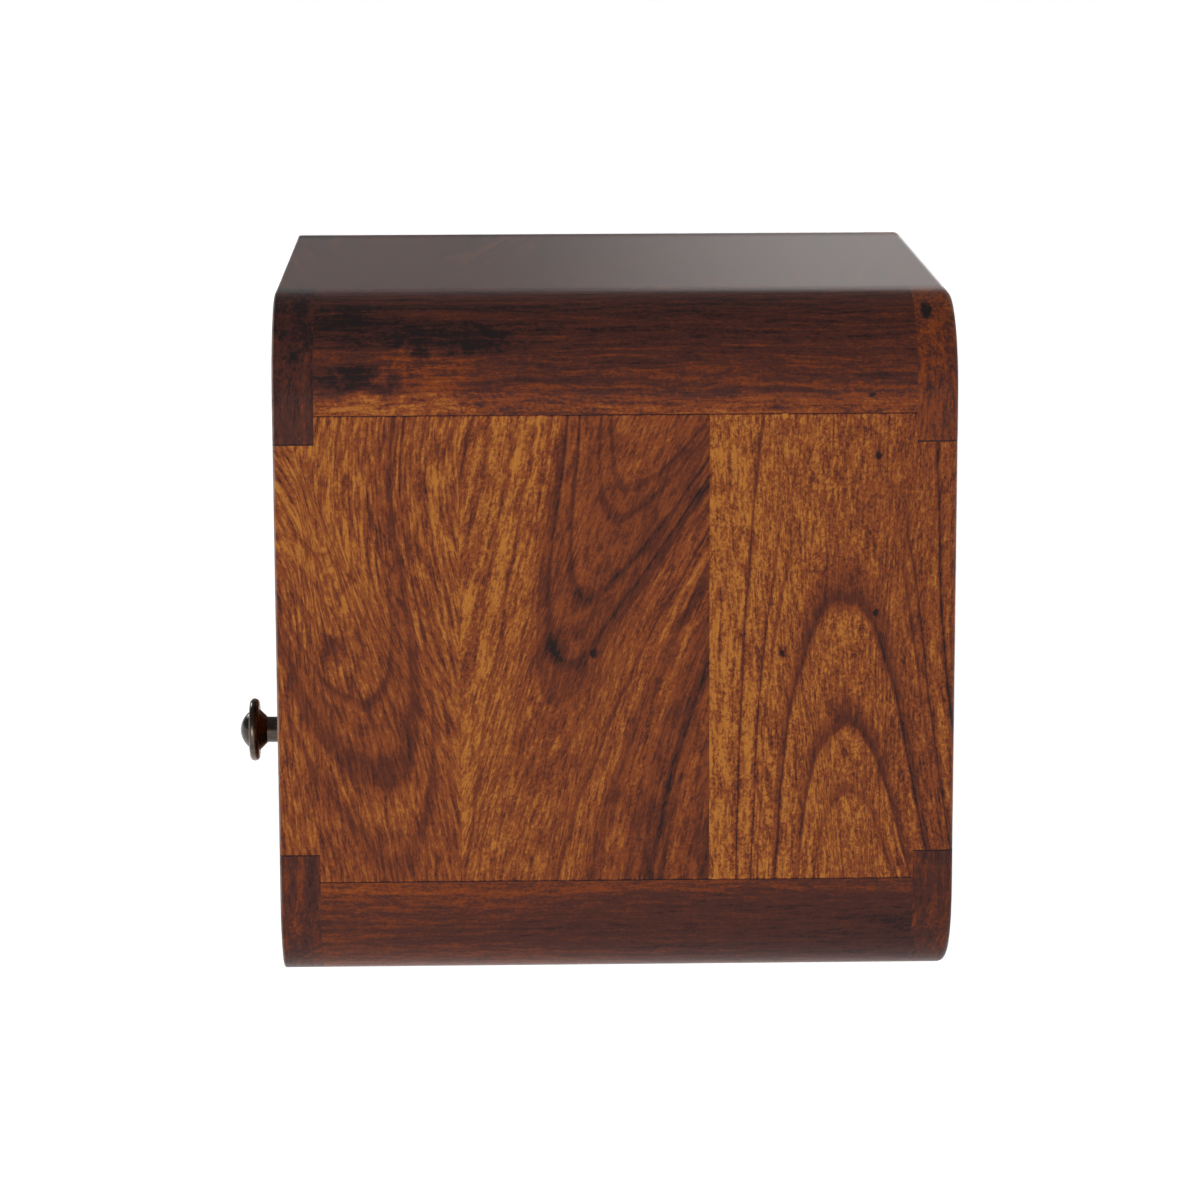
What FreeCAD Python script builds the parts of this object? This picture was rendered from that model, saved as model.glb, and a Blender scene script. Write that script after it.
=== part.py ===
"""Wall-hung bedside cabinet: a round-cornered wooden carcass with an open space over one drawer.

Frame: X to the right seen from the front, Y towards the wall, Z up. The origin lies on the wall
plane, midway between the entry holes of the two keyhole hanger plates. Lengths are in millimetres.
"""
import FreeCAD, Part
import os
import re
import Sketcher

# Driving dimensions
SIZES = {
    # Carcass: boards, corner rails and end blocks glued up into one round-cornered tube
    "carcass_width": 320,
    "carcass_depth": 300,
    "carcass_height": 308,
    "board_thick": 18,
    "corner_radius": 43,
    "rail_straight": 6,
    "block_overlap": 13,
    "block_thick": 18,
    "front_board_width": 81,
    "middle_board_width": 110,
    "front_arris": 1,
    "rear_round": 4,
    # Loose tongues between the boards and the corner rails
    "tongue_thick": 5,
    "tongue_width": 20,
    "tongue_inset": 12,
    "tongue_clearance": 0.1,
    # Dowels
    "dowel_diameter": 6,
    "dowel_length": 30,
    "dowel_seat": 12,
    "dowel_clearance": 0.1,
    # Back panel, in a groove all round
    "panel_thick": 6,
    "panel_setback": 18,
    "panel_groove": 5,
    "panel_clearance": 0.5,
    # Shelf over the drawer, in stopped housings, with a shoulder along its top
    "shelf_thick": 18,
    "drawer_opening": 127,
    "housing_depth": 6,
    "housing_stop": 12,
    "housing_shoulder": 3,
    # Hanging rail and keyhole hanger plates
    "hanger_cove_gap": 9,
    "hanger_width": 16,
    "hanger_height": 44,
    "hanger_thick": 2,
    "hanger_corner": 3,
    "hanger_foot": 14,
    "hanger_margin": 3,
    "hanger_clearance": 0.2,
    "entry_diameter": 9.5,
    "slot_width": 4.5,
    "slot_rise": 16,
    "head_pocket_depth": 8,
    "head_pocket_margin": 0.75,
    "hanger_screw_inset": 4.5,
    "rail_relief": 0.5,
    # Drawer face
    "face_thick": 18,
    "face_gap": 2,
    # Drawer box, dovetailed at its four corners
    "drawer_side_gap": 12.5,
    "drawer_wall": 12,
    "box_height": 95,
    "box_cove_gap": 5,
    "box_rear_gap": 18,
    "pin_width": 8,
    "bottom_thick": 6,
    "bottom_rise": 10,
    "bottom_groove": 5,
    "bottom_clearance": 0.3,
    # Side runners, which the drawer hangs on, and the block that stops it
    "runner_height": 14,
    "runner_bite": 7,
    "runner_stop": 6,
    "running_clearance": 0.3,
    "stop_width": 40,
    "stop_thick": 12,
    "stop_inset": 24,
    "stop_overlap": 8,
    # Wood screws
    "screw_head": 6.8,
    "screw_shank": 3.5,
    "screw_head_depth": 2.2,
    "runner_screw_length": 30,
    "face_screw_length": 25,
    "hanger_screw_head": 5.6,
    "hanger_screw_shank": 3,
    "hanger_screw_length": 14,
    "screw_clearance": 0.1,
    # Turned knob with its machine screw and washer
    "knob_raise": 1.9,
    "knob_stem_diameter": 12.3,
    "knob_stem_length": 13,
    "knob_flare_diameter": 20,
    "knob_flare_length": 3.8,
    "knob_rim_diameter": 30,
    "knob_rim_thick": 4.6,
    "knob_dome_diameter": 17.6,
    "knob_dome_rise": 4.6,
    "knob_thread_depth": 9,
    "knob_screw_diameter": 4,
    "knob_screw_bite": 8,
    "knob_screw_head_diameter": 8,
    "knob_screw_head_height": 2.6,
    "washer_diameter": 11,
    "washer_thick": 1,
    # One overrun for all cuts
    "overrun": 5,
}

# Counts and shares
TAIL_COUNT = 3
TAIL_SLOPE_SHARE = 0.16
RUNNER_SCREW_SHARES = (0.12, 0.5, 0.88)
FACE_SCREW_ACROSS_SHARE = 0.6
FACE_SCREW_UP_SHARES = (0.35, 0.8)
RAIL_DOWEL_SHARES = (0.48, 0.84)
STOP_DOWEL_SHARE = 0.5

# Places worked out from the driving dimensions
PLACES = {
    "outer_half": "carcass_width / 2",
    "inner_half": "outer_half - board_thick",
    "inner_radius": "corner_radius - board_thick",
    "front": "-carcass_depth",
    "inner_roof": "hanger_height - hanger_foot + hanger_margin",
    "roof": "inner_roof + board_thick",
    "base": "roof - carcass_height",
    "inner_base": "base + board_thick",
    "rail_reach": "corner_radius + rail_straight",
    "block_reach": "rail_reach + block_overlap",
    "board_joint_front": "front + front_board_width",
    "board_joint_rear": "board_joint_front + middle_board_width",
    "block_face_front": "front + block_thick",
    "block_face_rear": "-block_thick",
    "panel_back": "-panel_setback",
    "panel_front": "panel_back - panel_thick",
    "tongue_front": "block_face_front + tongue_inset",
    "tongue_rear": "panel_front - tongue_inset",
    "dowel_arc": "(corner_radius - (board_thick - panel_groove) / 2) / sqrt(2)",
    "dowel_far": "dowel_length - dowel_seat",
    "shelf_low": "inner_base + drawer_opening",
    "shelf_high": "shelf_low + shelf_thick",
    "shelf_half": "inner_half + housing_depth",
    "housing_high": "shelf_high - housing_shoulder",
    "hanging_rail_low": "-hanger_foot - hanger_margin",
    "hanger_across": "inner_half - inner_radius - hanger_cove_gap - hanger_width / 2",
    "rail_corner": "inner_radius + rail_relief",
    "entry_radius": "entry_diameter / 2",
    "slot_half": "slot_width / 2",
    "pocket_half": "entry_radius + head_pocket_margin",
    "face_back": "front + face_thick",
    "face_low": "inner_base + face_gap",
    "face_high": "shelf_low - face_gap",
    "face_half": "inner_half - face_gap",
    "box_half": "inner_half - drawer_side_gap",
    "box_inner_half": "box_half - drawer_wall",
    "cove_rise": "inner_radius - sqrt(inner_radius^2 - (inner_radius - drawer_side_gap)^2)",
    "box_low": "inner_base + cove_rise + box_cove_gap",
    "box_high": "box_low + box_height",
    "box_middle": "box_low + box_height / 2",
    "box_front_inside": "face_back + drawer_wall",
    "box_back": "panel_front - box_rear_gap",
    "box_back_inside": "box_back - drawer_wall",
    "bottom_low": "box_low + bottom_rise",
    "runner_half": "box_half - runner_bite",
    "runner_front": "face_back + runner_stop",
    "stop_front": "box_front_inside + stop_inset",
    "stop_low": "box_high - stop_overlap",
    "knob_height": "(face_low + face_high) / 2 + knob_raise",
    "knob_stem_radius": "knob_stem_diameter / 2",
    "knob_flare_radius": "knob_flare_diameter / 2",
    "knob_rim_round": "knob_rim_thick / 2",
    "knob_rim_centre": "knob_rim_diameter / 2 - knob_rim_round",
    "knob_rim_back": "knob_stem_length + knob_flare_length",
    "knob_rim_front": "knob_rim_back + knob_rim_thick",
    "knob_tip": "knob_rim_front + knob_dome_rise",
    "knob_dome_radius": "knob_dome_diameter / 2",
    "knob_dome_round": "(knob_dome_radius^2 + knob_dome_rise^2) / (2 * knob_dome_rise)",
    "knob_screw_radius": "knob_screw_diameter / 2",
    "knob_hole_radius": "knob_screw_radius + screw_clearance",
    "washer_seat": "box_front_inside + washer_thick",
}

SIDES = ("right", "left")
LEVELS = ("top", "bottom")
ENDS = ("front", "rear")

AHEAD = FreeCAD.Rotation(FreeCAD.Vector(1, 0, 0), 90)
TO_WALL = FreeCAD.Rotation(FreeCAD.Vector(1, 0, 0), -90)
UP = FreeCAD.Rotation()
OUTWARD = {
    "right": FreeCAD.Rotation(FreeCAD.Vector(0, 1, 0), 90),
    "left": FreeCAD.Rotation(FreeCAD.Vector(0, 1, 0), -90),
}

doc = FreeCAD.newDocument("bedside_cabinet")
nodes = []


# Sheets and formulas

def formula(words, own_sheet=False):
    """Point each size or place that a formula names at its cell."""

    def cell(match):
        word = match.group()
        if word in SIZES:
            return "Sizes." + word
        if word in PLACES and not own_sheet:
            return "Places." + word
        return word

    return re.sub(r"[a-z_]+", cell, words)


def fill_sheets():
    """Write the driving dimensions and the places worked out from them."""
    sizes = doc.addObject("Spreadsheet::Sheet", "Sizes")
    for row, (name, size) in enumerate(SIZES.items(), 1):
        sizes.set(f"A{row}", name)
        sizes.set(f"B{row}", str(size))
        sizes.setAlias(f"B{row}", name)
    places = doc.addObject("Spreadsheet::Sheet", "Places")
    for row, (name, words) in enumerate(PLACES.items(), 1):
        places.set(f"A{row}", name)
        places.setAlias(f"B{row}", name)
        places.set(f"B{row}", "=" + formula(words, own_sheet=True))
    doc.recompute()


def value(words):
    """The present value of a formula."""
    return float(doc.Places.evalExpression(formula(words)))


def bind(item, **formulas):
    """Tie an object's sizes to their formulas."""
    for size, words in formulas.items():
        item.setExpression(size, formula(words))


def put(item, spot):
    """Tie an object's place to the formulas for X, Y and Z."""
    for axis, words in zip("xyz", spot):
        item.setExpression("Placement.Base." + axis, formula(words))


# Ranges on the left or right, and at the top or bottom

def across(side, near, far):
    """The X range between two distances from the middle, on one side."""
    return (near, far) if side == "right" else (f"-({far})", f"-({near})")


def upright(level, near, far):
    """The Z range between two depths below the top face, or above the underside."""
    if level == "top":
        return f"roof - ({far})", f"roof - ({near})"
    return f"base + {near}", f"base + {far}"


def signed(side, words):
    """A distance from the middle, on one side."""
    return words if side == "right" else f"-({words})"


# Solids from primitives and booleans

def brick(name, x_range, y_range, z_range):
    """A rectangular block between three pairs of formulas."""
    item = doc.addObject("Part::Box", name)
    for size, (low, high) in zip(("Length", "Width", "Height"), (x_range, y_range, z_range)):
        bind(item, **{size: f"({high}) - ({low})"})
    put(item, (x_range[0], y_range[0], z_range[0]))
    return item


def peg(name, radius, length, spot, turn):
    """A round bar that starts at a spot and runs along a direction."""
    item = doc.addObject("Part::Cylinder", name)
    item.Placement.Rotation = turn
    bind(item, Radius=radius, Height=length)
    put(item, spot)
    return item


def screw(name, kind, length, spot, turn, slack="0"):
    """A countersunk wood screw, or with slack the hole that it sits in."""
    head = doc.addObject("Part::Cone", name + "_head")
    head.Placement.Rotation = turn
    bind(
        head,
        Radius1=f"{kind}_head / 2 + {slack}",
        Radius2=f"{kind}_shank / 2 + {slack}",
        Height="screw_head_depth",
    )
    put(head, spot)
    shank = peg(name + "_shank", f"{kind}_shank / 2 + {slack}", f"{length} + {slack}", spot, turn)
    return join(name, [head, shank])


def join(name, items):
    """Fuse pieces into one solid."""
    item = doc.addObject("Part::MultiFuse", name)
    item.Shapes = items
    item.Refine = True
    return item


def cut(name, base, tools):
    """Take tools out of a base."""
    item = doc.addObject("Part::Cut", name)
    item.Base = base
    item.Tool = tools[0] if len(tools) == 1 else join(name + "_tools", tools)
    return item


def common(name, base, tool):
    """The part of a base that lies in a tool."""
    item = doc.addObject("Part::Common", name)
    item.Base = base
    item.Tool = tool
    return item


def group(name, items):
    """Separate solids that share a node."""
    item = doc.addObject("Part::Compound", name)
    item.Links = items
    return item


def node(item):
    """Hand a finished sub-part over for writing."""
    item.Label = item.Name
    nodes.append(item)
    return item


# Bodies from sketches

def plane(body, role):
    """One of a body's own origin planes."""
    return next(feature for feature in body.Origin.OriginFeatures if feature.Role == role)


def tie(sketch, kind, places, words):
    """Constrain part of a sketch to a formula."""
    index = sketch.addConstraint(Sketcher.Constraint(kind, *places, value(words)))
    sketch.setExpression(f"Constraints[{index}]", formula(words))


def pin_point(sketch, edge, point, x_words=None, y_words=None):
    """Tie a point of an edge to its distances from the sketch's origin, or to an axis where one is zero."""
    for kind, words, axis in (("DistanceX", x_words, -2), ("DistanceY", y_words, -1)):
        if words == "0":
            sketch.addConstraint(Sketcher.Constraint("PointOnObject", edge, point, axis))
        elif words is not None:
            tie(sketch, kind, (-1, 1, edge, point), words)


def draw(sketch, corners):
    """Draw a closed outline, counter-clockwise. A corner may hold the centre of an arc that starts there."""
    spots = [FreeCAD.Vector(value(x_words), value(y_words), 0) for x_words, y_words, _ in corners]
    first = sketch.GeometryCount
    for start, end, (_, _, arc) in zip(spots, spots[1:] + spots[:1], corners):
        if arc is None:
            sketch.addGeometry(Part.LineSegment(start, end))
        else:
            centre = FreeCAD.Vector(value(arc[0]), value(arc[1]), 0)
            circle = Part.Circle(centre, FreeCAD.Vector(0, 0, 1), start.distanceToPoint(centre))
            sketch.addGeometry(Part.ArcOfCircle(circle, circle.parameter(start), circle.parameter(end)))
    for step, (x_words, y_words, arc) in enumerate(corners):
        following = first + (step + 1) % len(corners)
        sketch.addConstraint(Sketcher.Constraint("Coincident", first + step, 2, following, 1))
        pin_point(sketch, first + step, 1, x_words, y_words)
        if arc is not None:
            pin_point(sketch, first + step, 3, x_words=arc[0])


def rectangle(half, low, high, low_round=None, high_round=None):
    """Corners of an upright rectangle about the middle, with square or round lower and upper corners."""
    corners = []
    for sign, level, inward, rounding, side_first in (
        ("", low, "+", low_round, False),
        ("", high, "-", high_round, True),
        ("-", high, "-", high_round, False),
        ("-", low, "+", low_round, True),
    ):
        if rounding is None:
            corners.append((f"{sign}({half})", level, None))
            continue
        centre_x, centre_z = f"{sign}({half} - ({rounding}))", f"{level} {inward} ({rounding})"
        ends = [(f"{sign}({half})", centre_z), (centre_x, level)]
        start, end = ends if side_first else ends[::-1]
        corners.append((*start, (centre_x, centre_z)))
        corners.append((*end, None))
    return corners


def sketch_on(body, role):
    """A sketch on one of a body's own planes."""
    sketch = body.newObject("Sketcher::SketchObject", f"{body.Name}_{role.lower()}_sketch")
    sketch.AttachmentSupport = (plane(body, role), [""])
    sketch.MapMode = "FlatFace"
    return sketch


def slab(name, front, back, outlines, middle="0"):
    """A body whose X-Z outlines are padded forwards, from the back to the front."""
    body = doc.addObject("PartDesign::Body", name)
    sketch = sketch_on(body, "XZ_Plane")
    for corners in outlines:
        draw(sketch, corners)
    pad = body.newObject("PartDesign::Pad", name + "_pad")
    pad.Profile = sketch
    bind(pad, Length=f"({back}) - ({front})")
    put(body, (middle, back, "0"))
    doc.recompute()
    return body


def ease(body, end, radius, inside=False):
    """Round the outer edges of a body's front or rear face, and the inner ones too if asked."""
    base = body.Tip
    faces = base.Shape.Faces
    if end == "front":
        face = min(faces, key=lambda item: item.BoundBox.YMax)
    else:
        face = max(faces, key=lambda item: item.BoundBox.YMin)
    rim = face.Edges if inside else face.OuterWire.Edges
    names = [
        f"Edge{number}"
        for number, edge in enumerate(base.Shape.Edges, 1)
        if any(edge.isSame(other) for other in rim)
    ]
    fillet = body.newObject("PartDesign::Fillet", f"{body.Name}_{end}_edge")
    fillet.Base = (base, names)
    bind(fillet, Radius=radius)
    doc.recompute()


# Carcass

def carcass_shell():
    """The whole round-cornered tube, with its edges eased as after glue-up."""
    shell = slab(
        "carcass_shell",
        "front",
        "0",
        [
            rectangle("outer_half", "base", "roof", "corner_radius", "corner_radius"),
            rectangle("inner_half", "inner_base", "inner_roof", "inner_radius", "inner_radius"),
        ],
    )
    ease(shell, "front", "front_arris", inside=True)
    ease(shell, "rear", "rear_round")
    return shell


def tongue(name, side, level, panel, slack):
    """A loose tongue across the joint of a corner rail with a side, top or bottom panel, or its slot."""
    thick = (f"(board_thick - tongue_thick) / 2 + {slack}", f"(board_thick + tongue_thick) / 2 - {slack}")
    wide = (f"rail_reach - tongue_width / 2 + {slack}", f"rail_reach + tongue_width / 2 - {slack}")
    in_x, in_z = (thick, wide) if panel == "side" else (wide, thick)
    return brick(
        name,
        across(side, f"outer_half - ({in_x[1]})", f"outer_half - ({in_x[0]})"),
        (f"tongue_front + {slack}", f"tongue_rear - {slack}"),
        upright(level, *in_z),
    )


def block_dowel(name, side, level, end, slack):
    """A dowel that pins an end block to its corner rail, or its hole."""
    depth = f"dowel_seat + {slack}"
    start = f"block_face_front - ({depth})" if end == "front" else f"block_face_rear - dowel_far - {slack}"
    height = "roof - corner_radius + dowel_arc" if level == "top" else "base + corner_radius - dowel_arc"
    spot = (signed(side, "outer_half - corner_radius + dowel_arc"), start, height)
    return peg(name, f"dowel_diameter / 2 + {slack}", f"dowel_length + 2 * {slack}", spot, TO_WALL)


def rail_dowel(name, side, share, slack):
    """A dowel that pins the hanging rail to a side, or its hole."""
    height = f"hanging_rail_low + {share} * (inner_roof - inner_radius - hanging_rail_low)"
    spot = (signed(side, f"inner_half - dowel_far - {slack}"), "panel_back / 2", height)
    return peg(name, f"dowel_diameter / 2 + {slack}", f"dowel_length + 2 * {slack}", spot, OUTWARD[side])


def runner_screw(name, side, share, slack="0"):
    """A screw that holds a runner to a side, or its hole."""
    along = f"runner_front + {share} * (panel_front - runner_front)"
    spot = (signed(side, "runner_half"), along, "box_middle")
    return screw(name, "screw", "runner_screw_length", spot, OUTWARD[side], slack)


def carcass_tools():
    """Everything that is cut out of the carcass walls: grooves, housings, slots and holes."""
    groove_edges = (
        "inner_half + panel_groove",
        "inner_base - panel_groove",
        "inner_roof + panel_groove",
        "inner_radius + panel_groove",
        "inner_radius + panel_groove",
    )
    tools = [slab("panel_groove_form", "panel_front", "panel_back", [rectangle(*groove_edges)])]
    for side in SIDES:
        tools.append(
            brick(
                f"{side}_housing",
                across(side, "inner_half - overrun", "shelf_half"),
                ("front + housing_stop", "panel_front"),
                ("shelf_low", "housing_high"),
            )
        )
        for level in LEVELS:
            for panel in ("side", "flat"):
                tools.append(tongue(f"{level}_{side}_{panel}_slot", side, level, panel, "0"))
            for end in ENDS:
                tools.append(
                    block_dowel(f"{end}_{level}_{side}_block_hole", side, level, end, "dowel_clearance")
                )
        for number, share in enumerate(RAIL_DOWEL_SHARES, 1):
            tools.append(rail_dowel(f"{side}_rail_hole_{number}", side, share, "dowel_clearance"))
        for number, share in enumerate(RUNNER_SCREW_SHARES, 1):
            tools.append(runner_screw(f"{side}_runner_hole_{number}", side, share, "screw_clearance"))
    return tools


def end_block_cell(side, level, end, name):
    """The space of one end block, at the front or rear end of a corner rail."""
    deep = ("front - overrun", "block_face_front") if end == "front" else ("block_face_rear", "overrun")
    return brick(
        name,
        across(side, "outer_half - block_reach", "outer_half + overrun"),
        deep,
        upright(level, "-overrun", "block_reach"),
    )


def carcass_pieces(walls):
    """Split the walls into corner rails, end blocks and three boards for each panel."""
    cells = {}
    for side in SIDES:
        for level in LEVELS:
            corner = f"{level}_{side}"
            rail_cell = brick(
                f"{corner}_rail_cell",
                across(side, "outer_half - rail_reach", "outer_half + overrun"),
                ("block_face_front", "block_face_rear"),
                upright(level, "-overrun", "rail_reach"),
            )
            node(common(f"{corner}_corner_rail", walls, rail_cell))
            for end in ENDS:
                cell = end_block_cell(side, level, end, f"{end}_{corner}_block_cell")
                cells[side, level, end] = cell
                node(common(f"{end}_{corner}_end_block", walls, cell))
    runs = {
        "front": ("front - overrun", "board_joint_front"),
        "middle": ("board_joint_front", "board_joint_rear"),
        "rear": ("board_joint_rear", "overrun"),
    }
    for run, deep in runs.items():
        for side in SIDES:
            cell = brick(
                f"{side}_side_{run}_cell",
                across(side, "inner_half - overrun", "outer_half + overrun"),
                deep,
                ("base + rail_reach", "roof - rail_reach"),
            )
            notches = [cells[side, level, run] for level in LEVELS if run in ENDS]
            panel_board(f"{side}_side_{run}_board", walls, cell, notches)
        for level in LEVELS:
            cell = brick(
                f"{level}_{run}_cell",
                ("rail_reach - outer_half", "outer_half - rail_reach"),
                deep,
                upright(level, "-overrun", "board_thick + overrun"),
            )
            notches = [cells[side, level, run] for side in SIDES if run in ENDS]
            panel_board(f"{level}_{run}_board", walls, cell, notches)


def panel_board(name, walls, cell, notches):
    """One board of a panel, notched at the corners where end blocks reach into it."""
    if notches:
        cell = cut(name + "_cell", cell, notches)
    node(common(name, walls, cell))


def corner_fixings():
    """Loose tongues for each corner rail, and the dowels of the end blocks."""
    dowels = []
    for side in SIDES:
        for level in LEVELS:
            corner = f"{level}_{side}"
            tongues = [
                tongue(f"{corner}_{panel}_tongue", side, level, panel, "tongue_clearance")
                for panel in ("side", "flat")
            ]
            node(group(f"{corner}_tongues", tongues))
            dowels += [block_dowel(f"{end}_{corner}_dowel", side, level, end, "0") for end in ENDS]
    node(group("end_block_dowels", dowels))


def shelf():
    """The shelf between the drawer and the open space, notched and shouldered to hide its housings."""
    board = slab("shelf_blank", "front", "panel_front", [rectangle("shelf_half", "shelf_low", "shelf_high")])
    ease(board, "front", "front_arris")
    tools = [stop_dowel(f"shelf_{side}_stop_hole", side, "dowel_clearance") for side in SIDES]
    cuts = {
        "notch": ("front + housing_stop", "shelf_low - overrun"),
        "shoulder": ("panel_front + overrun", "housing_high"),
    }
    for side in SIDES:
        for name, (rear, low) in cuts.items():
            tools.append(
                brick(
                    f"{side}_shelf_{name}",
                    across(side, "inner_half", "shelf_half + overrun"),
                    ("front - overrun", rear),
                    (low, "shelf_high + overrun"),
                )
            )
    node(cut("divider_shelf", board, tools))


def back_panel():
    """The thin panel that closes the back, with a gap all round for the wood to move."""
    edges = (
        "inner_half + panel_groove - panel_clearance",
        "inner_base - panel_groove + panel_clearance",
        "inner_roof + panel_groove - panel_clearance",
        "inner_radius + panel_groove - panel_clearance",
        "inner_radius + panel_groove - panel_clearance",
    )
    node(slab("back_panel", "panel_front", "panel_back", [rectangle(*edges)]))


# Wall hanging

def hanger_screw(name, side, end, slack="0"):
    """A screw that holds a hanger plate, below its entry hole or above its slot, or the screw's hole."""
    heights = {
        "lower": "hanger_screw_inset - hanger_foot",
        "upper": "hanger_height - hanger_foot - hanger_screw_inset",
    }
    spot = (signed(side, "hanger_across"), "0", heights[end])
    return screw(name, "hanger_screw", "hanger_screw_length", spot, AHEAD, slack)


def hanger_outline(slack):
    """The outline of a hanger plate, or of its recess."""
    corner = f"hanger_corner + {slack}"
    low, high = f"-hanger_foot - {slack}", f"hanger_height - hanger_foot + {slack}"
    return rectangle(f"hanger_width / 2 + {slack}", low, high, corner, corner)


def hanging_rail():
    """The rail behind the back panel that the hanger plates are let into."""
    blank = slab(
        "hanging_rail_blank",
        "panel_back",
        "0",
        [rectangle("inner_half", "hanging_rail_low", "inner_roof", high_round="rail_corner")],
    )
    tools = []
    for side in SIDES:
        middle = signed(side, "hanger_across")
        recess = [hanger_outline("hanger_clearance")]
        tools.append(slab(f"{side}_hanger_recess", "-hanger_thick", "overrun", recess, middle))
        tools.append(
            brick(
                f"{side}_head_pocket",
                (f"{middle} - pocket_half", f"{middle} + pocket_half"),
                ("-hanger_thick - head_pocket_depth", "0"),
                ("-pocket_half", "slot_rise + pocket_half"),
            )
        )
        for end in ("lower", "upper"):
            tools.append(hanger_screw(f"{side}_{end}_rail_pilot", side, end, "screw_clearance"))
        for number, share in enumerate(RAIL_DOWEL_SHARES, 1):
            tools.append(rail_dowel(f"{side}_rail_end_hole_{number}", side, share, "dowel_clearance"))
    node(cut("hanging_rail", blank, tools))
    dowels = [
        rail_dowel(f"{side}_rail_dowel_{number}", side, share, "0")
        for side in SIDES
        for number, share in enumerate(RAIL_DOWEL_SHARES, 1)
    ]
    node(group("hanging_rail_dowels", dowels))


def hanger_plates():
    """Two keyhole plates: a screw head goes in at the entry hole and its shank rides up the slot."""
    screws = []
    for side in SIDES:
        middle = signed(side, "hanger_across")
        blank = slab(f"{side}_hanger_blank", "-hanger_thick", "0", [hanger_outline("0")], middle)
        through = "hanger_thick + 2 * overrun"
        tools = [
            peg(f"{side}_entry_hole", "entry_radius", through, (middle, "overrun", "0"), AHEAD),
            peg(f"{side}_slot_end", "slot_half", through, (middle, "overrun", "slot_rise"), AHEAD),
            brick(
                f"{side}_slot",
                (f"{middle} - slot_half", f"{middle} + slot_half"),
                ("-hanger_thick - overrun", "overrun"),
                ("0", "slot_rise"),
            ),
        ]
        for end in ("lower", "upper"):
            tools.append(hanger_screw(f"{side}_{end}_plate_hole", side, end, "screw_clearance"))
            screws.append(hanger_screw(f"{side}_{end}_hanger_screw", side, end))
        node(cut(f"{side}_hanger_plate", blank, tools))
    node(group("hanger_plate_screws", screws))


# Runners and stop

def runners():
    """The side runners that the drawer hangs on, with their screws."""
    screws = []
    for side in SIDES:
        bar = brick(
            f"{side}_runner_blank",
            across(side, "runner_half", "inner_half"),
            ("runner_front + running_clearance", "panel_front"),
            ("box_middle - runner_height / 2", "box_middle + runner_height / 2"),
        )
        holes = []
        for number, share in enumerate(RUNNER_SCREW_SHARES, 1):
            holes.append(runner_screw(f"{side}_bar_hole_{number}", side, share, "screw_clearance"))
            screws.append(runner_screw(f"{side}_runner_screw_{number}", side, share))
        node(cut(f"{side}_runner", bar, holes))
    node(group("runner_screws", screws))


def stop_dowel(name, side, slack):
    """A dowel that pins the stop block to the shelf, or its hole."""
    spot = (
        signed(side, f"{STOP_DOWEL_SHARE} * stop_width / 2"),
        "stop_front + stop_thick / 2",
        f"shelf_low - dowel_far - {slack}",
    )
    return peg(name, f"dowel_diameter / 2 + {slack}", f"dowel_length + 2 * {slack}", spot, UP)


def drawer_stop():
    """The block under the shelf that the drawer's back comes up against when it is pulled out."""
    block = brick(
        "stop_blank",
        ("-stop_width / 2", "stop_width / 2"),
        ("stop_front", "stop_front + stop_thick"),
        ("stop_low", "shelf_low"),
    )
    holes = [stop_dowel(f"{side}_stop_hole", side, "dowel_clearance") for side in SIDES]
    node(cut("drawer_stop_block", block, holes))
    dowels = [stop_dowel(f"{side}_stop_dowel", side, "0") for side in SIDES]
    node(group("stop_block_dowels", dowels))


# Drawer

def tails(side, end):
    """The dovetails at one end of a drawer side: wedges that widen towards the end of the board."""
    pitch = f"(box_height / {TAIL_COUNT})"
    wide = f"(({pitch} - pin_width) / 2)"
    narrow = f"({wide} - {TAIL_SLOPE_SHARE} * drawer_wall)"
    x_low, x_high = across(side, "box_inner_half", "box_half")
    if end == "front":
        y_low, y_high, first, last = "face_back", "box_front_inside", wide, narrow
    else:
        y_low, y_high, first, last = "box_back_inside", "box_back", narrow, wide
    wedges = []
    for number in range(TAIL_COUNT):
        middle = f"box_low + {number + 0.5} * {pitch}"
        wedge = doc.addObject("Part::Wedge", f"{side}_{end}_tail_{number + 1}")
        bind(wedge, Xmin=x_low, Xmax=x_high, X2min=x_low, X2max=x_high, Ymin=y_low, Ymax=y_high)
        bind(wedge, Zmin=f"{middle} - {first}", Zmax=f"{middle} + {first}")
        bind(wedge, Z2min=f"{middle} - {last}", Z2max=f"{middle} + {last}")
        wedges.append(wedge)
    return wedges


def runner_groove(side):
    """The groove along a drawer side that its runner fills, open at the back."""
    return brick(
        f"{side}_runner_groove",
        across(side, "runner_half - running_clearance", "box_half + overrun"),
        ("runner_front", "box_back + overrun"),
        (
            "box_middle - runner_height / 2 - running_clearance",
            "box_middle + runner_height / 2 + running_clearance",
        ),
    )


def face_screw(name, side, share, slack="0"):
    """A screw from inside the drawer into its face, or the screw's hole."""
    across_words = signed(side, f"{FACE_SCREW_ACROSS_SHARE} * box_half")
    spot = (across_words, "box_front_inside", f"box_low + {share} * box_height")
    return screw(name, "screw", "face_screw_length", spot, AHEAD, slack)


def knob_bolt_hole(name):
    """The hole for the knob's screw through the drawer's front and face."""
    spot = ("0", "box_front_inside + overrun", "knob_height")
    return peg(name, "knob_hole_radius", "drawer_wall + face_thick + 2 * overrun", spot, AHEAD)


def face_holes(piece):
    """The holes for the face screws and the knob's screw."""
    holes = [
        face_screw(f"{piece}_{side}_hole_{number}", side, share, "screw_clearance")
        for side in SIDES
        for number, share in enumerate(FACE_SCREW_UP_SHARES, 1)
    ]
    return holes + [knob_bolt_hole(f"{piece}_knob_hole")]


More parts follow.
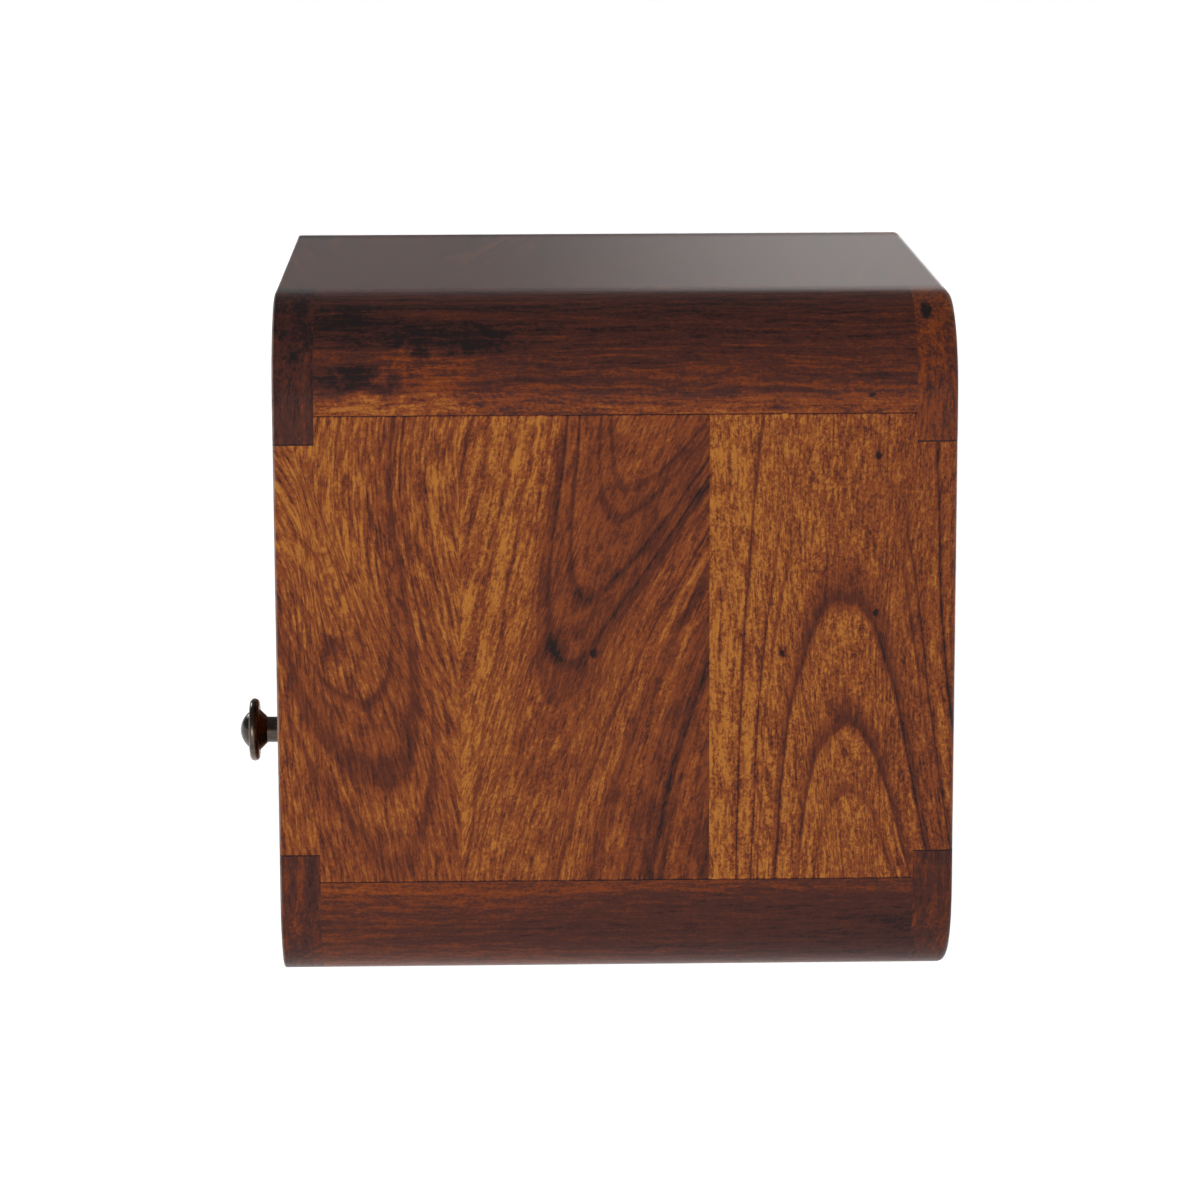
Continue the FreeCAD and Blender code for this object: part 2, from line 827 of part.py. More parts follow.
def drawer_box():
    """The dovetailed box: two sides with tails, a front and a back with pins, and a bottom in grooves."""
    joints = {(side, end): tails(side, end) for side in SIDES for end in ENDS}
    groove_half = "box_inner_half + bottom_groove"
    bottom_groove = brick(
        "bottom_groove_form",
        (f"-({groove_half})", groove_half),
        ("box_front_inside - bottom_groove", "box_back_inside + bottom_groove"),
        ("bottom_low", "bottom_low + bottom_thick"),
    )
    slots = [runner_groove(side) for side in SIDES]
    for side in SIDES:
        core = brick(
            f"{side}_drawer_side_core",
            across(side, "box_inner_half", "box_half"),
            ("box_front_inside", "box_back_inside"),
            ("box_low", "box_high"),
        )
        blank = join(f"{side}_drawer_side_blank", [core] + joints[side, "front"] + joints[side, "rear"])
        node(cut(f"drawer_{side}_side", blank, slots + [bottom_groove]))
    whole_width = ("-box_half", "box_half")
    height = ("box_low", "box_high")
    front = brick("drawer_front_blank", whole_width, ("face_back", "box_front_inside"), height)
    sockets = joints["right", "front"] + joints["left", "front"]
    node(cut("drawer_front", front, sockets + [bottom_groove] + slots + face_holes("front")))
    back = brick("drawer_back_blank", whole_width, ("box_back_inside", "box_back"), height)
    sockets = joints["right", "rear"] + joints["left", "rear"]
    node(cut("drawer_back", back, sockets + [bottom_groove] + slots))
    bottom_half = f"{groove_half} - bottom_clearance"
    bottom = brick(
        "drawer_bottom",
        (f"-({bottom_half})", bottom_half),
        (
            "box_front_inside - bottom_groove + bottom_clearance",
            "box_back_inside + bottom_groove - bottom_clearance",
        ),
        ("bottom_low", "bottom_low + bottom_thick"),
    )
    node(bottom)


def drawer_face():
    """The inset face, rounded at its lower corners to follow the carcass, with its screws."""
    outline = rectangle("face_half", "face_low", "face_high", low_round="inner_radius - face_gap")
    board = slab("drawer_face_blank", "front", "face_back", [outline])
    ease(board, "front", "front_arris")
    node(cut("drawer_face", board, face_holes("face")))
    screws = [
        face_screw(f"{side}_face_screw_{number}", side, share)
        for side in SIDES
        for number, share in enumerate(FACE_SCREW_UP_SHARES, 1)
    ]
    node(group("drawer_face_screws", screws))


def knob():
    """The turned knob: a stem that flares to a round rim, with a dome in front."""
    body = doc.addObject("PartDesign::Body", "knob")
    sketch = sketch_on(body, "XY_Plane")
    rim_middle = "-(knob_rim_back + knob_rim_round)"
    draw(
        sketch,
        [
            ("knob_hole_radius", "0", None),
            ("knob_hole_radius", "-knob_thread_depth", None),
            ("0", "-knob_thread_depth", None),
            ("0", "-knob_tip", ("0", "knob_dome_round - knob_tip")),
            ("knob_dome_radius", "-knob_rim_front", None),
            ("knob_rim_centre", "-knob_rim_front", ("knob_rim_centre", rim_middle)),
            ("knob_rim_centre", "-knob_rim_back", None),
            ("knob_flare_radius", "-knob_rim_back", None),
            ("knob_stem_radius", "-knob_stem_length", None),
            ("knob_stem_radius", "0", None),
        ],
    )
    turned = body.newObject("PartDesign::Revolution", "knob_turning")
    turned.Profile = sketch
    turned.ReferenceAxis = (sketch, ["V_Axis"])
    turned.Angle = 360
    put(body, ("0", "front", "knob_height"))
    node(body)


def knob_fixings():
    """The machine screw that holds the knob from inside the drawer, with its washer."""
    centre = ("0", "washer_seat", "knob_height")
    length = "washer_thick + drawer_wall + face_thick + knob_screw_bite"
    shank = peg("knob_screw_shank", "knob_screw_radius", length, centre, AHEAD)
    spot = ("0", "washer_seat + knob_screw_head_height", "knob_height")
    head = peg("knob_screw_top", "knob_screw_head_diameter / 2", "knob_screw_head_height", spot, AHEAD)
    node(join("knob_screw", [head, shank]))
    disc = peg("washer_blank", "washer_diameter / 2", "washer_thick", centre, AHEAD)
    start = ("0", "washer_seat + overrun", "knob_height")
    hole = peg("washer_hole", "knob_hole_radius", "washer_thick + 2 * overrun", start, AHEAD)
    node(cut("knob_washer", disc, [hole]))


def check():
    """Stop if any object failed, or any sub-part has no sound solid."""
    for item in doc.Objects:
        if "Invalid" in item.State or "Error" in item.State:
            raise RuntimeError(f"{item.Name} failed: {item.State}")
    for item in nodes:
        if item.Shape.isNull() or not item.Shape.isValid() or not item.Shape.Solids:
            raise RuntimeError(f"{item.Label} has no sound solid")


def write():
    """Write each sub-part to its own file."""
    os.makedirs("parts", exist_ok=True)
    for item in nodes:
        item.Shape.exportStep(f"parts/{item.Label}.step")
        print(item.Label, len(item.Shape.Solids), round(item.Shape.Volume))


fill_sheets()
walls = cut("carcass_walls", carcass_shell(), carcass_tools())
carcass_pieces(walls)
corner_fixings()
shelf()
back_panel()
hanging_rail()
hanger_plates()
runners()
drawer_stop()
drawer_box()
drawer_face()
knob()
knob_fixings()
doc.recompute()
check()
write()
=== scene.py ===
"""Looks of the wall-hung bedside cabinet: stained hardwood, pale inner woods, bronze knob and plated steel.

Every surface finish is worked out from Object coordinates, which are the cabinet's own frame in metres:
X to the right seen from the front, Y towards the wall, Z up.
"""

import logging
import math
from collections.abc import Iterable, Sequence
from dataclasses import dataclass, field, replace
from enum import Enum
from itertools import product
from typing import ClassVar, Self

import bpy
import numpy as np
from mathutils import Matrix, Vector


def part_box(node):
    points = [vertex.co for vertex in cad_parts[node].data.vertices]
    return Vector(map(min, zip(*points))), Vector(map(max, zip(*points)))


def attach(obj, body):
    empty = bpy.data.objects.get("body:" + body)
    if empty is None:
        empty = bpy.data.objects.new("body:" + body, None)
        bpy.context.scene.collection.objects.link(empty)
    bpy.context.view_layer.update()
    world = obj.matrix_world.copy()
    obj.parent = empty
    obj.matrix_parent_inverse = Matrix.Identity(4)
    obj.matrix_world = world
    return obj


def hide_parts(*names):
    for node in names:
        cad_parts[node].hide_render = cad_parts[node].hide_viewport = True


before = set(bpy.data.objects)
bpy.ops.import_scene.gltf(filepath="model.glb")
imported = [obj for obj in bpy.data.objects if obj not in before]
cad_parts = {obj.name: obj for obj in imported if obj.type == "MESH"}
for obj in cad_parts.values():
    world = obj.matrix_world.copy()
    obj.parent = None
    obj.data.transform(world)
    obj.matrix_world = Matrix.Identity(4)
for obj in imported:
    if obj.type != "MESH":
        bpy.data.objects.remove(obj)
log = logging.getLogger("bedside_cabinet")

Colour = tuple[float, float, float]
Triple = tuple[float, float, float]
Span = tuple[float, float]
Stops = tuple[Span, ...]
Node = bpy.types.Node
Sockets = bpy.types.NodeOutputs
Socket = bpy.types.NodeSocket
Tree = bpy.types.NodeTree
Material = bpy.types.Material

MILLIMETRES = 1000.0


class Plan:
    """A shader tree with short ways to add nodes and wire them."""

    def __init__(self, tree: Tree) -> None:
        """Keep the tree that nodes are added to."""
        self.tree = tree

    def add(self, kind: str, wires: dict | None = None, **settings: object) -> Node:
        """Add one node.

        Args:
            kind: Node type without its "ShaderNode" prefix.
            wires: Input names or numbers, with the socket or value that each takes.
            settings: Attributes of the node.

        Returns:
            The new node.
        """
        node = self.tree.nodes.new(kind if kind.startswith("Node") else "ShaderNode" + kind)
        for name, value in settings.items():
            setattr(node, name, value)
        for name, value in (wires or {}).items():
            self.feed(node.inputs[name], value)
        return node

    def feed(self, socket: Socket, value: object) -> None:
        """Wire a socket to another one, or set its value.

        Args:
            socket: Socket of a node's input.
            value: The other socket, or the value.
        """
        if isinstance(value, Socket):
            self.tree.links.new(value, socket)
        elif isinstance(value, tuple) and len(value) == 3 and socket.type == "RGBA":
            socket.default_value = (*value, 1.0)
        else:
            socket.default_value = value

    def math(self, operation: str, *values: object, clamp: bool = False) -> Socket:
        """Work out one number from others."""
        node = self.add("Math", dict(enumerate(values)), operation=operation, use_clamp=clamp)
        return node.outputs[0]

    def total(self, *values: object) -> Socket:
        """Add up several numbers.

        Args:
            values: The numbers.

        Returns:
            Their sum.
        """
        result = values[0]
        for value in values[1:]:
            result = self.math("ADD", result, value)
        return result

    def polynomial(self, at: Socket, terms: Sequence[object]) -> Socket:
        """A polynomial of a number.

        Args:
            at: The number.
            terms: Its terms, constant first.

        Returns:
            The polynomial's value.
        """
        result = terms[-1]
        for term in reversed(terms[:-1]):
            result = self.math("MULTIPLY_ADD", result, at, term)
        return result

    def step(self, value: object, low: object, high: object, start: float = 0.0,
             end: float = 1.0) -> Socket:
        """A smooth step of a value, from start at low to end at high."""
        wires = {"Value": value, "From Min": low, "From Max": high, "To Min": start, "To Max": end}
        return self.add("MapRange", wires, interpolation_type="SMOOTHSTEP").outputs["Result"]

    def mix(self, share: object, first: object, second: object) -> Socket:
        """A colour between two others."""
        node = self.add("Mix", {0: share, 6: first, 7: second}, data_type="RGBA")
        return node.outputs[2]

    def join(self, x: object, y: object, z: object) -> Socket:
        """A vector from three numbers."""
        return self.add("CombineXYZ", {0: x, 1: y, 2: z}).outputs[0]

    def noise(self, at: object, scale: object, detail: float = 2.0, rough: float = 0.5,
              bend: float = 0.0) -> Socket:
        """Cloudy noise between 0 and 1 at a vector."""
        wires = {"Vector": at, "Scale": scale, "Detail": detail, "Roughness": rough, "Distortion": bend}
        return self.add("TexNoise", wires).outputs[0]

    def split(self, at: Socket) -> Sockets:
        """The three numbers of a vector."""
        return self.add("SeparateXYZ", {0: at}).outputs

    def millimetres(self, at: Socket) -> Sockets:
        """The three numbers, in millimetres, of a place that is given in metres."""
        scaled = self.add("VectorMath", {0: at, "Scale": MILLIMETRES}, operation="SCALE")
        return self.split(scaled.outputs[0])

    def length(self, at: Socket) -> Socket:
        """The length of a vector."""
        return self.add("VectorMath", {0: at}, operation="LENGTH").outputs["Value"]

    def normal(self) -> Sockets:
        """The three numbers of the surface's normal."""
        return self.split(self.add("NewGeometry").outputs["Normal"])


def start_material(name: str) -> tuple[Material, Plan]:
    """A new material with an empty shader tree.

    Args:
        name: Name of the material.

    Returns:
        The material and the plan of its tree.
    """
    made = bpy.data.materials.new(name)
    made.use_nodes = True
    made.node_tree.nodes.clear()
    return made, Plan(made.node_tree)


def place(name: str, data: bpy.types.ID) -> bpy.types.Object:
    """A new object in the scene.

    Args:
        name: Name of the object.
        data: Its mesh, lamp or camera.

    Returns:
        The object.
    """
    thing = bpy.data.objects.new(name, data)
    bpy.context.scene.collection.objects.link(thing)
    return thing


def make_group(name: str, inputs: dict, outputs: dict) -> tuple[Plan, dict, Node]:
    """Start a shader node group.

    Args:
        name: Name of the group.
        inputs: Names of its inputs with their first values: a number, a colour, or None for a vector.
        outputs: Names of its outputs with their socket types.

    Returns:
        The plan of the group, its input sockets by name, and its output node.
    """
    tree = bpy.data.node_groups.new(name, "ShaderNodeTree")
    for label, value in inputs.items():
        kind = "Vector" if value is None else "Color" if isinstance(value, tuple) else "Float"
        socket = tree.interface.new_socket(label, in_out="INPUT", socket_type="NodeSocket" + kind)
        if kind == "Color":
            socket.default_value = (*value, 1.0)
        elif kind == "Float":
            socket.default_value = value
    for label, kind in outputs.items():
        tree.interface.new_socket(label, in_out="OUTPUT", socket_type="NodeSocket" + kind)
    plan = Plan(tree)
    entry = plan.add("NodeGroupInput")
    exit_node = plan.add("NodeGroupOutput")
    return plan, {socket.name: socket for socket in entry.outputs if socket.name}, exit_node


@dataclass(frozen=True)
class Pattern:
    """One noise of the wood: features per millimetre across, deep and along the fibres, and contrast."""

    scale: Triple
    detail: float
    rough: float
    bend: float
    contrast: Span
    levels: Span = (-0.5, 0.5)


GRAIN_UNIT = 100.0
PITH_TERMS = ("P0", "P1", "P2", "D0", "D1", "D2", "T1", "T2")
WAVES = (((0.03, 0.035, 0.014), 8.0), ((0.12, 0.14, 0.06), 3.0))
LEG_LEAN = (0.25, 0.9)
HEART_SWAY = 0.4

PATTERNS: dict[str, Pattern] = {
    "Streak": Pattern((0.3, 0.05, 0.011), 5.0, 0.68, 0.3, (0.32, 0.68)),
    "Fleck": Pattern((0.5, 0.5, 0.075), 4.0, 0.62, 0.4, (0.3, 0.7)),
    "Mottle": Pattern((0.7, 0.7, 0.5), 3.0, 0.62, 0.8, (0.28, 0.72)),
    "Pore": Pattern((1.7, 1.7, 0.11), 2.0, 0.6, 0.0, (0.52, 0.68), (0.0, 1.0)),
    "Blotch": Pattern((0.09, 0.05, 0.05), 4.0, 0.7, 1.2, (0.38, 0.64)),
}
TONES: dict[str, Span] = {"Middle": (-0.05, 0.5), "Dark": (0.45, 0.82), "Line": (0.8, 1.12)}
STREAK_LEAN = (0.4, 0.85)
CALM_TONES = (0.34, 0.74, 1.0, 0.4)
WOOD_ROUGH = (0.25, 0.38)
FLECK_HEIGHT = -0.3

# Mask of the eased front edges: their pale colour is partly rubbing and partly a painted glint of light.
WEAR_GLINT_RISE = (0.1, 0.4)
WEAR_GLINT_FALL = (0.97, 0.8)
WEAR_GLINT_NOISE = (60.0, 5.0, 0.7)
WEAR_GLINT_BREAKS = (0.34, 0.62, 0.3, 1.0)


def ring_field_group() -> Tree:
    """Growth rings of a log, as one board cut from it sees them.

    With t the place along the grain in units of 100 mm, the pith lies at P0 + P1 t + P2 t^2 across the
    board and D0 + D1 t + D2 t^2 under its face. The ring radius is the distance to the pith less the
    taper T1 t + T2 t^2, with a slow wobble. A leaning pith turns the rings into arches on the face.
    The fibre is a place across the grain: it follows the rings in the legs of an arch, where they stand
    steep in the face, and runs straight through the arch's heart.

    Returns:
        The node group, whose radius is in millimetres.
    """
    inputs = {"Vector": None, **dict.fromkeys(PITH_TERMS, 0.0), "Wobble": 1.0, "Seed": 0.0}
    outputs = dict.fromkeys(("Radius", "Across", "Fibre", "Lean"), "Float")
    plan, given, exit_node = make_group("growth_rings", inputs, outputs)
    parts = plan.millimetres(given["Vector"])

    def swayed(scale: Triple, reach: float) -> Socket:
        """Noise between plus and minus half its reach, with the scale's features per millimetre.

        Args:
            scale: Features per millimetre deep, across and along.
            reach: How far it sways in all, in millimetres.

        Returns:
            The sway.
        """
        deep, across = (plan.math("MULTIPLY", parts[axis], scale[axis]) for axis in (0, 1))
        at = plan.join(deep, across, plan.math("MULTIPLY_ADD", parts[2], scale[2], given["Seed"]))
        return plan.math("MULTIPLY_ADD", plan.noise(at, 1.0), reach, reach / -2.0)

    along = plan.math("DIVIDE", parts[2], GRAIN_UNIT)
    pith, depth = (plan.polynomial(along, [given[name + power] for power in "012"]) for name in "PD")
    taper = plan.polynomial(along, [0.0, given["T1"], given["T2"]])
    sway = plan.total(*(swayed(*wave) for wave in WAVES))
    across = plan.math("SUBTRACT", parts[1], pith)
    reach = plan.length(plan.join(across, plan.math("SUBTRACT", depth, parts[0]), 0.0))
    radius = plan.math("MULTIPLY_ADD", sway, given["Wobble"], plan.math("SUBTRACT", reach, taper))
    lean = plan.math("DIVIDE", plan.math("ABSOLUTE", across), reach)
    signed = plan.math("MULTIPLY", radius, plan.math("SIGN", across))
    straight = plan.math("MULTIPLY_ADD", sway, HEART_SWAY, across)
    leg = plan.step(lean, *LEG_LEAN)
    fibre = plan.math("MULTIPLY_ADD", leg, plan.math("SUBTRACT", signed, straight), straight)
    for name, value in {"Radius": radius, "Across": across, "Fibre": fibre, "Lean": lean}.items():
        plan.feed(exit_node.inputs[name], value)
    return plan.tree


def figured_wood_group() -> Tree:
    """Colour, gloss and pores of stained hardwood.

    Darkness is the figure plus noise: long streaks along the rings where they stand steep in the face,
    flecks and pores stretched along the fibres, a fine mottle across them, and wide blotches. The darkness
    picks a colour from light over middle and dark to line.

    Returns:
        The node group.
    """
    colours = dict.fromkeys(("Light", *TONES), (0.2, 0.1, 0.05))
    numbers = dict.fromkeys(("Radius", "Fibre", "Lean", "Figure", *PATTERNS, "Seed"), 0.0)
    outputs = {"Color": "Color", "Roughness": "Float", "Height": "Float"}
    plan, given, exit_node = make_group("figured_wood", {"Vector": None, **numbers, **colours}, outputs)
    parts = plan.millimetres(given["Vector"])
    clouds = {}
    drawn = {}
    for name, pattern in PATTERNS.items():
        start = given["Radius" if name == "Streak" else "Fibre"]
        across, deep, along = pattern.scale
        at = plan.join(plan.math("MULTIPLY_ADD", start, across, given["Seed"]),
                       plan.math("MULTIPLY", parts[0], deep), plan.math("MULTIPLY", parts[2], along))
        clouds[name] = plan.noise(at, 1.0, pattern.detail, pattern.rough, pattern.bend)
        drawn[name] = plan.step(clouds[name], *pattern.contrast, *pattern.levels)
    sunk = plan.math("MULTIPLY", drawn["Fleck"], FLECK_HEIGHT)
    height = plan.math("SUBTRACT", sunk, drawn["Pore"])
    rough = plan.math("MULTIPLY_ADD", clouds["Fleck"], *WOOD_ROUGH)
    darkness = given["Figure"]
    calm = plan.step(darkness, *CALM_TONES)
    held = {"Streak": plan.step(given["Lean"], *STREAK_LEAN), "Fleck": calm, "Mottle": calm}
    for name, level in drawn.items():
        if name in held:
            level = plan.math("MULTIPLY", level, held[name])
        darkness = plan.math("MULTIPLY_ADD", level, given[name], darkness)
    colour = given["Light"]
    for name, span in TONES.items():
        colour = plan.mix(plan.step(darkness, *span), colour, given[name])
    for name, value in {"Color": colour, "Roughness": rough, "Height": height}.items():
        plan.feed(exit_node.inputs[name], value)
    return plan.tree


def worn_and_glinting_edge_group() -> Tree:
    """Eased front edges rubbed by hands and cloths, with a painted glint of light: surfaces that turn from a
    side to the front.

    With n the share of the surface's normal that points to the front, the mask rises over n from 0.1 to 0.4,
    falls over n from 0.8 to 0.97, and is broken up by noise.

    Returns:
        The node group.
    """
    plan, given, exit_node = make_group("worn_and_glinting_edges", {"Vector": None, "Amount": 1.0}, {"Wear and glint": "Float"})
    # The pale edge mask stands for rubbed-through finish and also for a painted glint of light along the
    # edges.
    turned = plan.math("MULTIPLY", plan.normal()[1], -1.0)
    band = plan.math("MULTIPLY", plan.step(turned, *WEAR_GLINT_RISE), plan.step(turned, *WEAR_GLINT_FALL))
    broken = plan.step(plan.noise(given["Vector"], *WEAR_GLINT_NOISE), *WEAR_GLINT_BREAKS)
    rubbed = plan.math("MULTIPLY", plan.math("MULTIPLY", band, broken), given["Amount"])
    plan.feed(exit_node.inputs["Wear and glint"], rubbed)
    return plan.tree


GROWTH_RINGS = ring_field_group()
FIGURED_WOOD = figured_wood_group()
WORN_AND_GLINTING_EDGES = worn_and_glinting_edge_group()


class Lay(Enum):
    """How the pieces lie: the directions of depth under the face, across and along the grain, and the start.

    The start is added after turning, in metres, so that depth is 0 on the face and along is 0 mid-length.
    Where it is None, it comes from the box of the piece itself.
    """

    RIGHT_SIDE = ("-x", "+y", "+z", (0.160, 0.0, 0.102))
    LEFT_SIDE = ("+x", "+y", "+z", (0.160, 0.0, 0.102))
    TOP = ("-z", "+y", "+x", (0.051, 0.0, 0.0))
    BOTTOM = ("+z", "+y", "-x", (0.257, 0.0, 0.0))
    RIGHT_RAIL = ("-x", "-z", "+y", (0.160, 0.0, 0.150))
    LEFT_RAIL = ("+x", "-z", "+y", (0.160, 0.0, 0.150))
    FRONT = ("+y", "+z", "+x", None)
    SHELF = ("-z", "+y", "+x", None)
    PANEL = ("+y", "+x", "+z", None)
    LENGTHWISE = ("+x", "+z", "+y", None)

    def turned(self, node: str) -> tuple[Matrix, Vector]:
        """The matrix from the cabinet's frame to the piece's, and the start.

        Args:
            node: Name of the piece's node.

        Returns:
            The matrix and the start.
        """
        matrix = Matrix(((0.0,) * 3,) * 3)
        for row, name in enumerate(self.value[:3]):
            matrix[row]["xyz".index(name[1])] = -1.0 if name[0] == "-" else 1.0
        if self.value[3] is not None:
            return matrix, Vector(self.value[3])
        low, high = (matrix @ Vector(corner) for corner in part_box(node))
        start = (low + high) / -2.0
        start[0] = -min(low[0], high[0])
        return matrix, start

    def spot(self, plan: Plan, node: str) -> Socket:
        """Object coordinates turned into the piece's frame.

        Args:
            plan: Plan of the material.
            node: Name of the piece's node.

        Returns:
            The vector socket.
        """
        matrix, start = self.turned(node)
        flip = Vector((1.0, 1.0, 1.0))
        if matrix.determinant() < 0.0:
            axis = next(i for i in range(3) if matrix[0][i] != 0.0)
            flip[axis] = -1.0
            for row in range(3):
                matrix[row][axis] *= -1.0
        coordinates = plan.add("TexCoord").outputs["Object"]
        wires = {"Vector": coordinates, "Location": start, "Rotation": matrix.to_euler(), "Scale": flip}
        return plan.add("Mapping", wires, vector_type="POINT").outputs[0]


@dataclass(frozen=True)
class Cut:
    """How one board was cut from its log: the pith's place, the dark rings and the strength of the grain.

    Lengths are in millimetres, and the pith's terms count along the grain in units of 100 mm.
    """

    across: Triple
    under: Triple
    taper: Span = (0.0, 0.0)
    rings: Stops = ((0.0, 0.45), (100.0, 0.45))
    slant: float = 0.0
    wobble: float = 0.3
    streak: float = 0.3
    fleck: float = 0.35
    mottle: float = 0.25
    pore: float = 0.15
    blotch: float = 0.0
    drift: float = 0.0
    seed: float = 0.0
    seams: tuple[float, ...] = ()
    marks: tuple[tuple[float, float, float, float], ...] = ()
    stains: tuple[tuple[float, float, float, float, float], ...] = ()
    open_from: float | None = None

    RING_START: ClassVar[float] = -10.0
    RING_SPAN: ClassVar[float] = 120.0
    HEART_TONE: ClassVar[float] = 0.42
    HEART_EDGE: ClassVar[Span] = (-1.0, 0.5)
    HEART_LEAN: ClassVar[Span] = (0.55, 0.3)
    SEAM_NOISE: ClassVar[Span] = (260.0, 3.0)
    SEAM_WIDTH: ClassVar[Span] = (1.6, 0.1)
    SEAM_SHADE: ClassVar[float] = 0.7
    KNOT_NOISE: ClassVar[Triple] = (520.0, 3.0, 0.6)
    KNOT_STRETCH: ClassVar[Triple] = (0.0, 1.0, 0.8)
    KNOT_RAGGED: ClassVar[float] = 0.0016
    KNOT_EDGE: ClassVar[Span] = (0.0003, 0.0014)
    CURL: ClassVar[dict[str, float]] = {"Scale": 85.0, "Detail": 6.0, "Roughness": 0.62, "Distortion": 0.5}
    CURL_REACH: ClassVar[Span] = (30.0, 56.0)
    STAIN_EDGE: ClassVar[Span] = (0.15, 1.3)

    def moved(self, shift: float, seed: float, over: bool = False, **changes: object) -> Self:
        """The same figure on another board.

        Args:
            shift: How far it moves across, in millimetres.
            seed: Start of its noise.
            over: Whether it is turned end for end.
            changes: Other fields that change.

        Returns:
            The new cut.
        """
        sign = -1.0 if over else 1.0
        across = (self.across[0] + shift, sign * self.across[1], self.across[2])
        under = (self.under[0], sign * self.under[1], self.under[2])
        taper = (sign * self.taper[0], self.taper[1])
        marks = tuple((mark[0] + shift, sign * mark[1], *mark[2:]) for mark in self.marks)
        fields = {"across": across, "under": under, "taper": taper, "marks": marks, "seed": seed}
        return replace(self, **(fields | changes))

    def ring_tone(self, plan: Plan, rings: Node) -> Socket:
        """Darkness by ring, with a plain heart inside an open arch, and one side darker than the other.

        Args:
            plan: Plan of the material.
            rings: Node of the ring field.

        Returns:
            The darkness, about 0 to 1.
        """
        radius, across, lean = (rings.outputs[name] for name in ("Radius", "Across", "Lean"))
        past = plan.math("SUBTRACT", radius, self.RING_START)
        ramp = plan.add("ValToRGB", {0: plan.math("DIVIDE", past, self.RING_SPAN, clamp=True)})
        stops = ramp.color_ramp.elements
        while len(stops) < len(self.rings):
            stops.new(0.5)
        for stop, (ring, darkness) in zip(stops, sorted(self.rings)):
            stop.position = (ring - self.RING_START) / self.RING_SPAN
            stop.color = (darkness, darkness, darkness, 1.0)
        result = ramp.outputs[0]
        if self.open_from is not None:
            inside = plan.step(radius, *(self.open_from + edge for edge in self.HEART_EDGE))
            heart = plan.math("MULTIPLY", inside, plan.step(lean, *self.HEART_LEAN))
            change = plan.math("SUBTRACT", self.HEART_TONE, result)
            result = plan.math("MULTIPLY_ADD", heart, change, result)
        return plan.math("MULTIPLY_ADD", across, self.slant, result)

    def seam_lines(self, plan: Plan, spot: Socket, along: Socket) -> list[Socket]:
        """Ragged dark lines where the board's ends meet its neighbours.

        Args:
            plan: Plan of the material.
            spot: Place in the board's frame.
            along: Place along the grain, in millimetres.

        Returns:
            The darkness that each line adds.
        """
        if not self.seams:
            return []
        ragged = plan.math("MULTIPLY_ADD", plan.noise(spot, *self.SEAM_NOISE), *self.SEAM_WIDTH)
        gaps = [plan.math("ABSOLUTE", plan.math("SUBTRACT", along, edge)) for edge in self.seams]
        return [plan.step(gap, 0.0, ragged, self.SEAM_SHADE, 0.0) for gap in gaps]

    def knots(self, plan: Plan, spot: Socket) -> list[Socket]:
        """Pin knots, and pale chips where the shade is below 0: round dabs with ragged edges.

        Args:
            plan: Plan of the material.
            spot: Place in the board's frame.

        Returns:
            The darkness that each dab adds.
        """
        dabs = []
        for across, along, size, shade in self.marks:
            middle = (0.0, across / MILLIMETRES, along / MILLIMETRES)
            way = plan.add("VectorMath", {0: spot, 1: middle}, operation="SUBTRACT").outputs[0]
            flat = plan.add("VectorMath", {0: way, 1: self.KNOT_STRETCH}, operation="MULTIPLY").outputs[0]
            rough = size * self.KNOT_RAGGED
            ragged = plan.math("MULTIPLY_ADD", plan.noise(spot, *self.KNOT_NOISE), rough, rough / -2.0)
            gap = plan.math("ADD", plan.length(flat), ragged)
            dabs.append(plan.step(gap, *(size * edge for edge in self.KNOT_EDGE), shade, 0.0))
        return dabs

    def swirls(self, plan: Plan, spot: Socket, radius: Socket, along: Socket) -> list[Socket]:
        """Stains: ellipses over ring and length, dark or pale, bent by a curly noise.

        Args:
            plan: Plan of the material.
            spot: Place in the board's frame.
            radius: Ring radius, in millimetres.
            along: Place along the grain, in millimetres.

        Returns:
            The darkness that each stain adds.
        """
        if not self.stains:
            return []
        curl = plan.split(plan.add("TexNoise", {"Vector": spot, **self.CURL}).outputs["Color"])
        bent_ring, bent_along = (
            plan.math("ADD", plan.math("MULTIPLY_ADD", curl[axis], reach, reach / -2.0), start)
            for axis, (reach, start) in enumerate(zip(self.CURL_REACH, (radius, along)))
        )
        added = []
        for ring, middle, wide, long, shade in self.stains:
            offset = plan.join(plan.math("DIVIDE", plan.math("SUBTRACT", bent_ring, ring), wide),
                               plan.math("DIVIDE", plan.math("SUBTRACT", bent_along, middle), long), 0.0)
            added.append(plan.step(plan.length(offset), *self.STAIN_EDGE, shade, 0.0))
        return added

    def darkness(self, plan: Plan, spot: Socket, rings: Node) -> Socket:
        """Darkness from the rings, a drift along the board, seams, knots and stains.

        Args:
            plan: Plan of the material.
            spot: Place in the board's frame.
            rings: Node of the ring field.

        Returns:
            The darkness, about 0 to 1.
        """
        along = plan.millimetres(spot)[2]
        tone = plan.math("MULTIPLY_ADD", along, self.drift, self.ring_tone(plan, rings))
        stains = self.swirls(plan, spot, rings.outputs["Radius"], along)
        return plan.total(tone, *self.seam_lines(plan, spot, along), *self.knots(plan, spot), *stains)


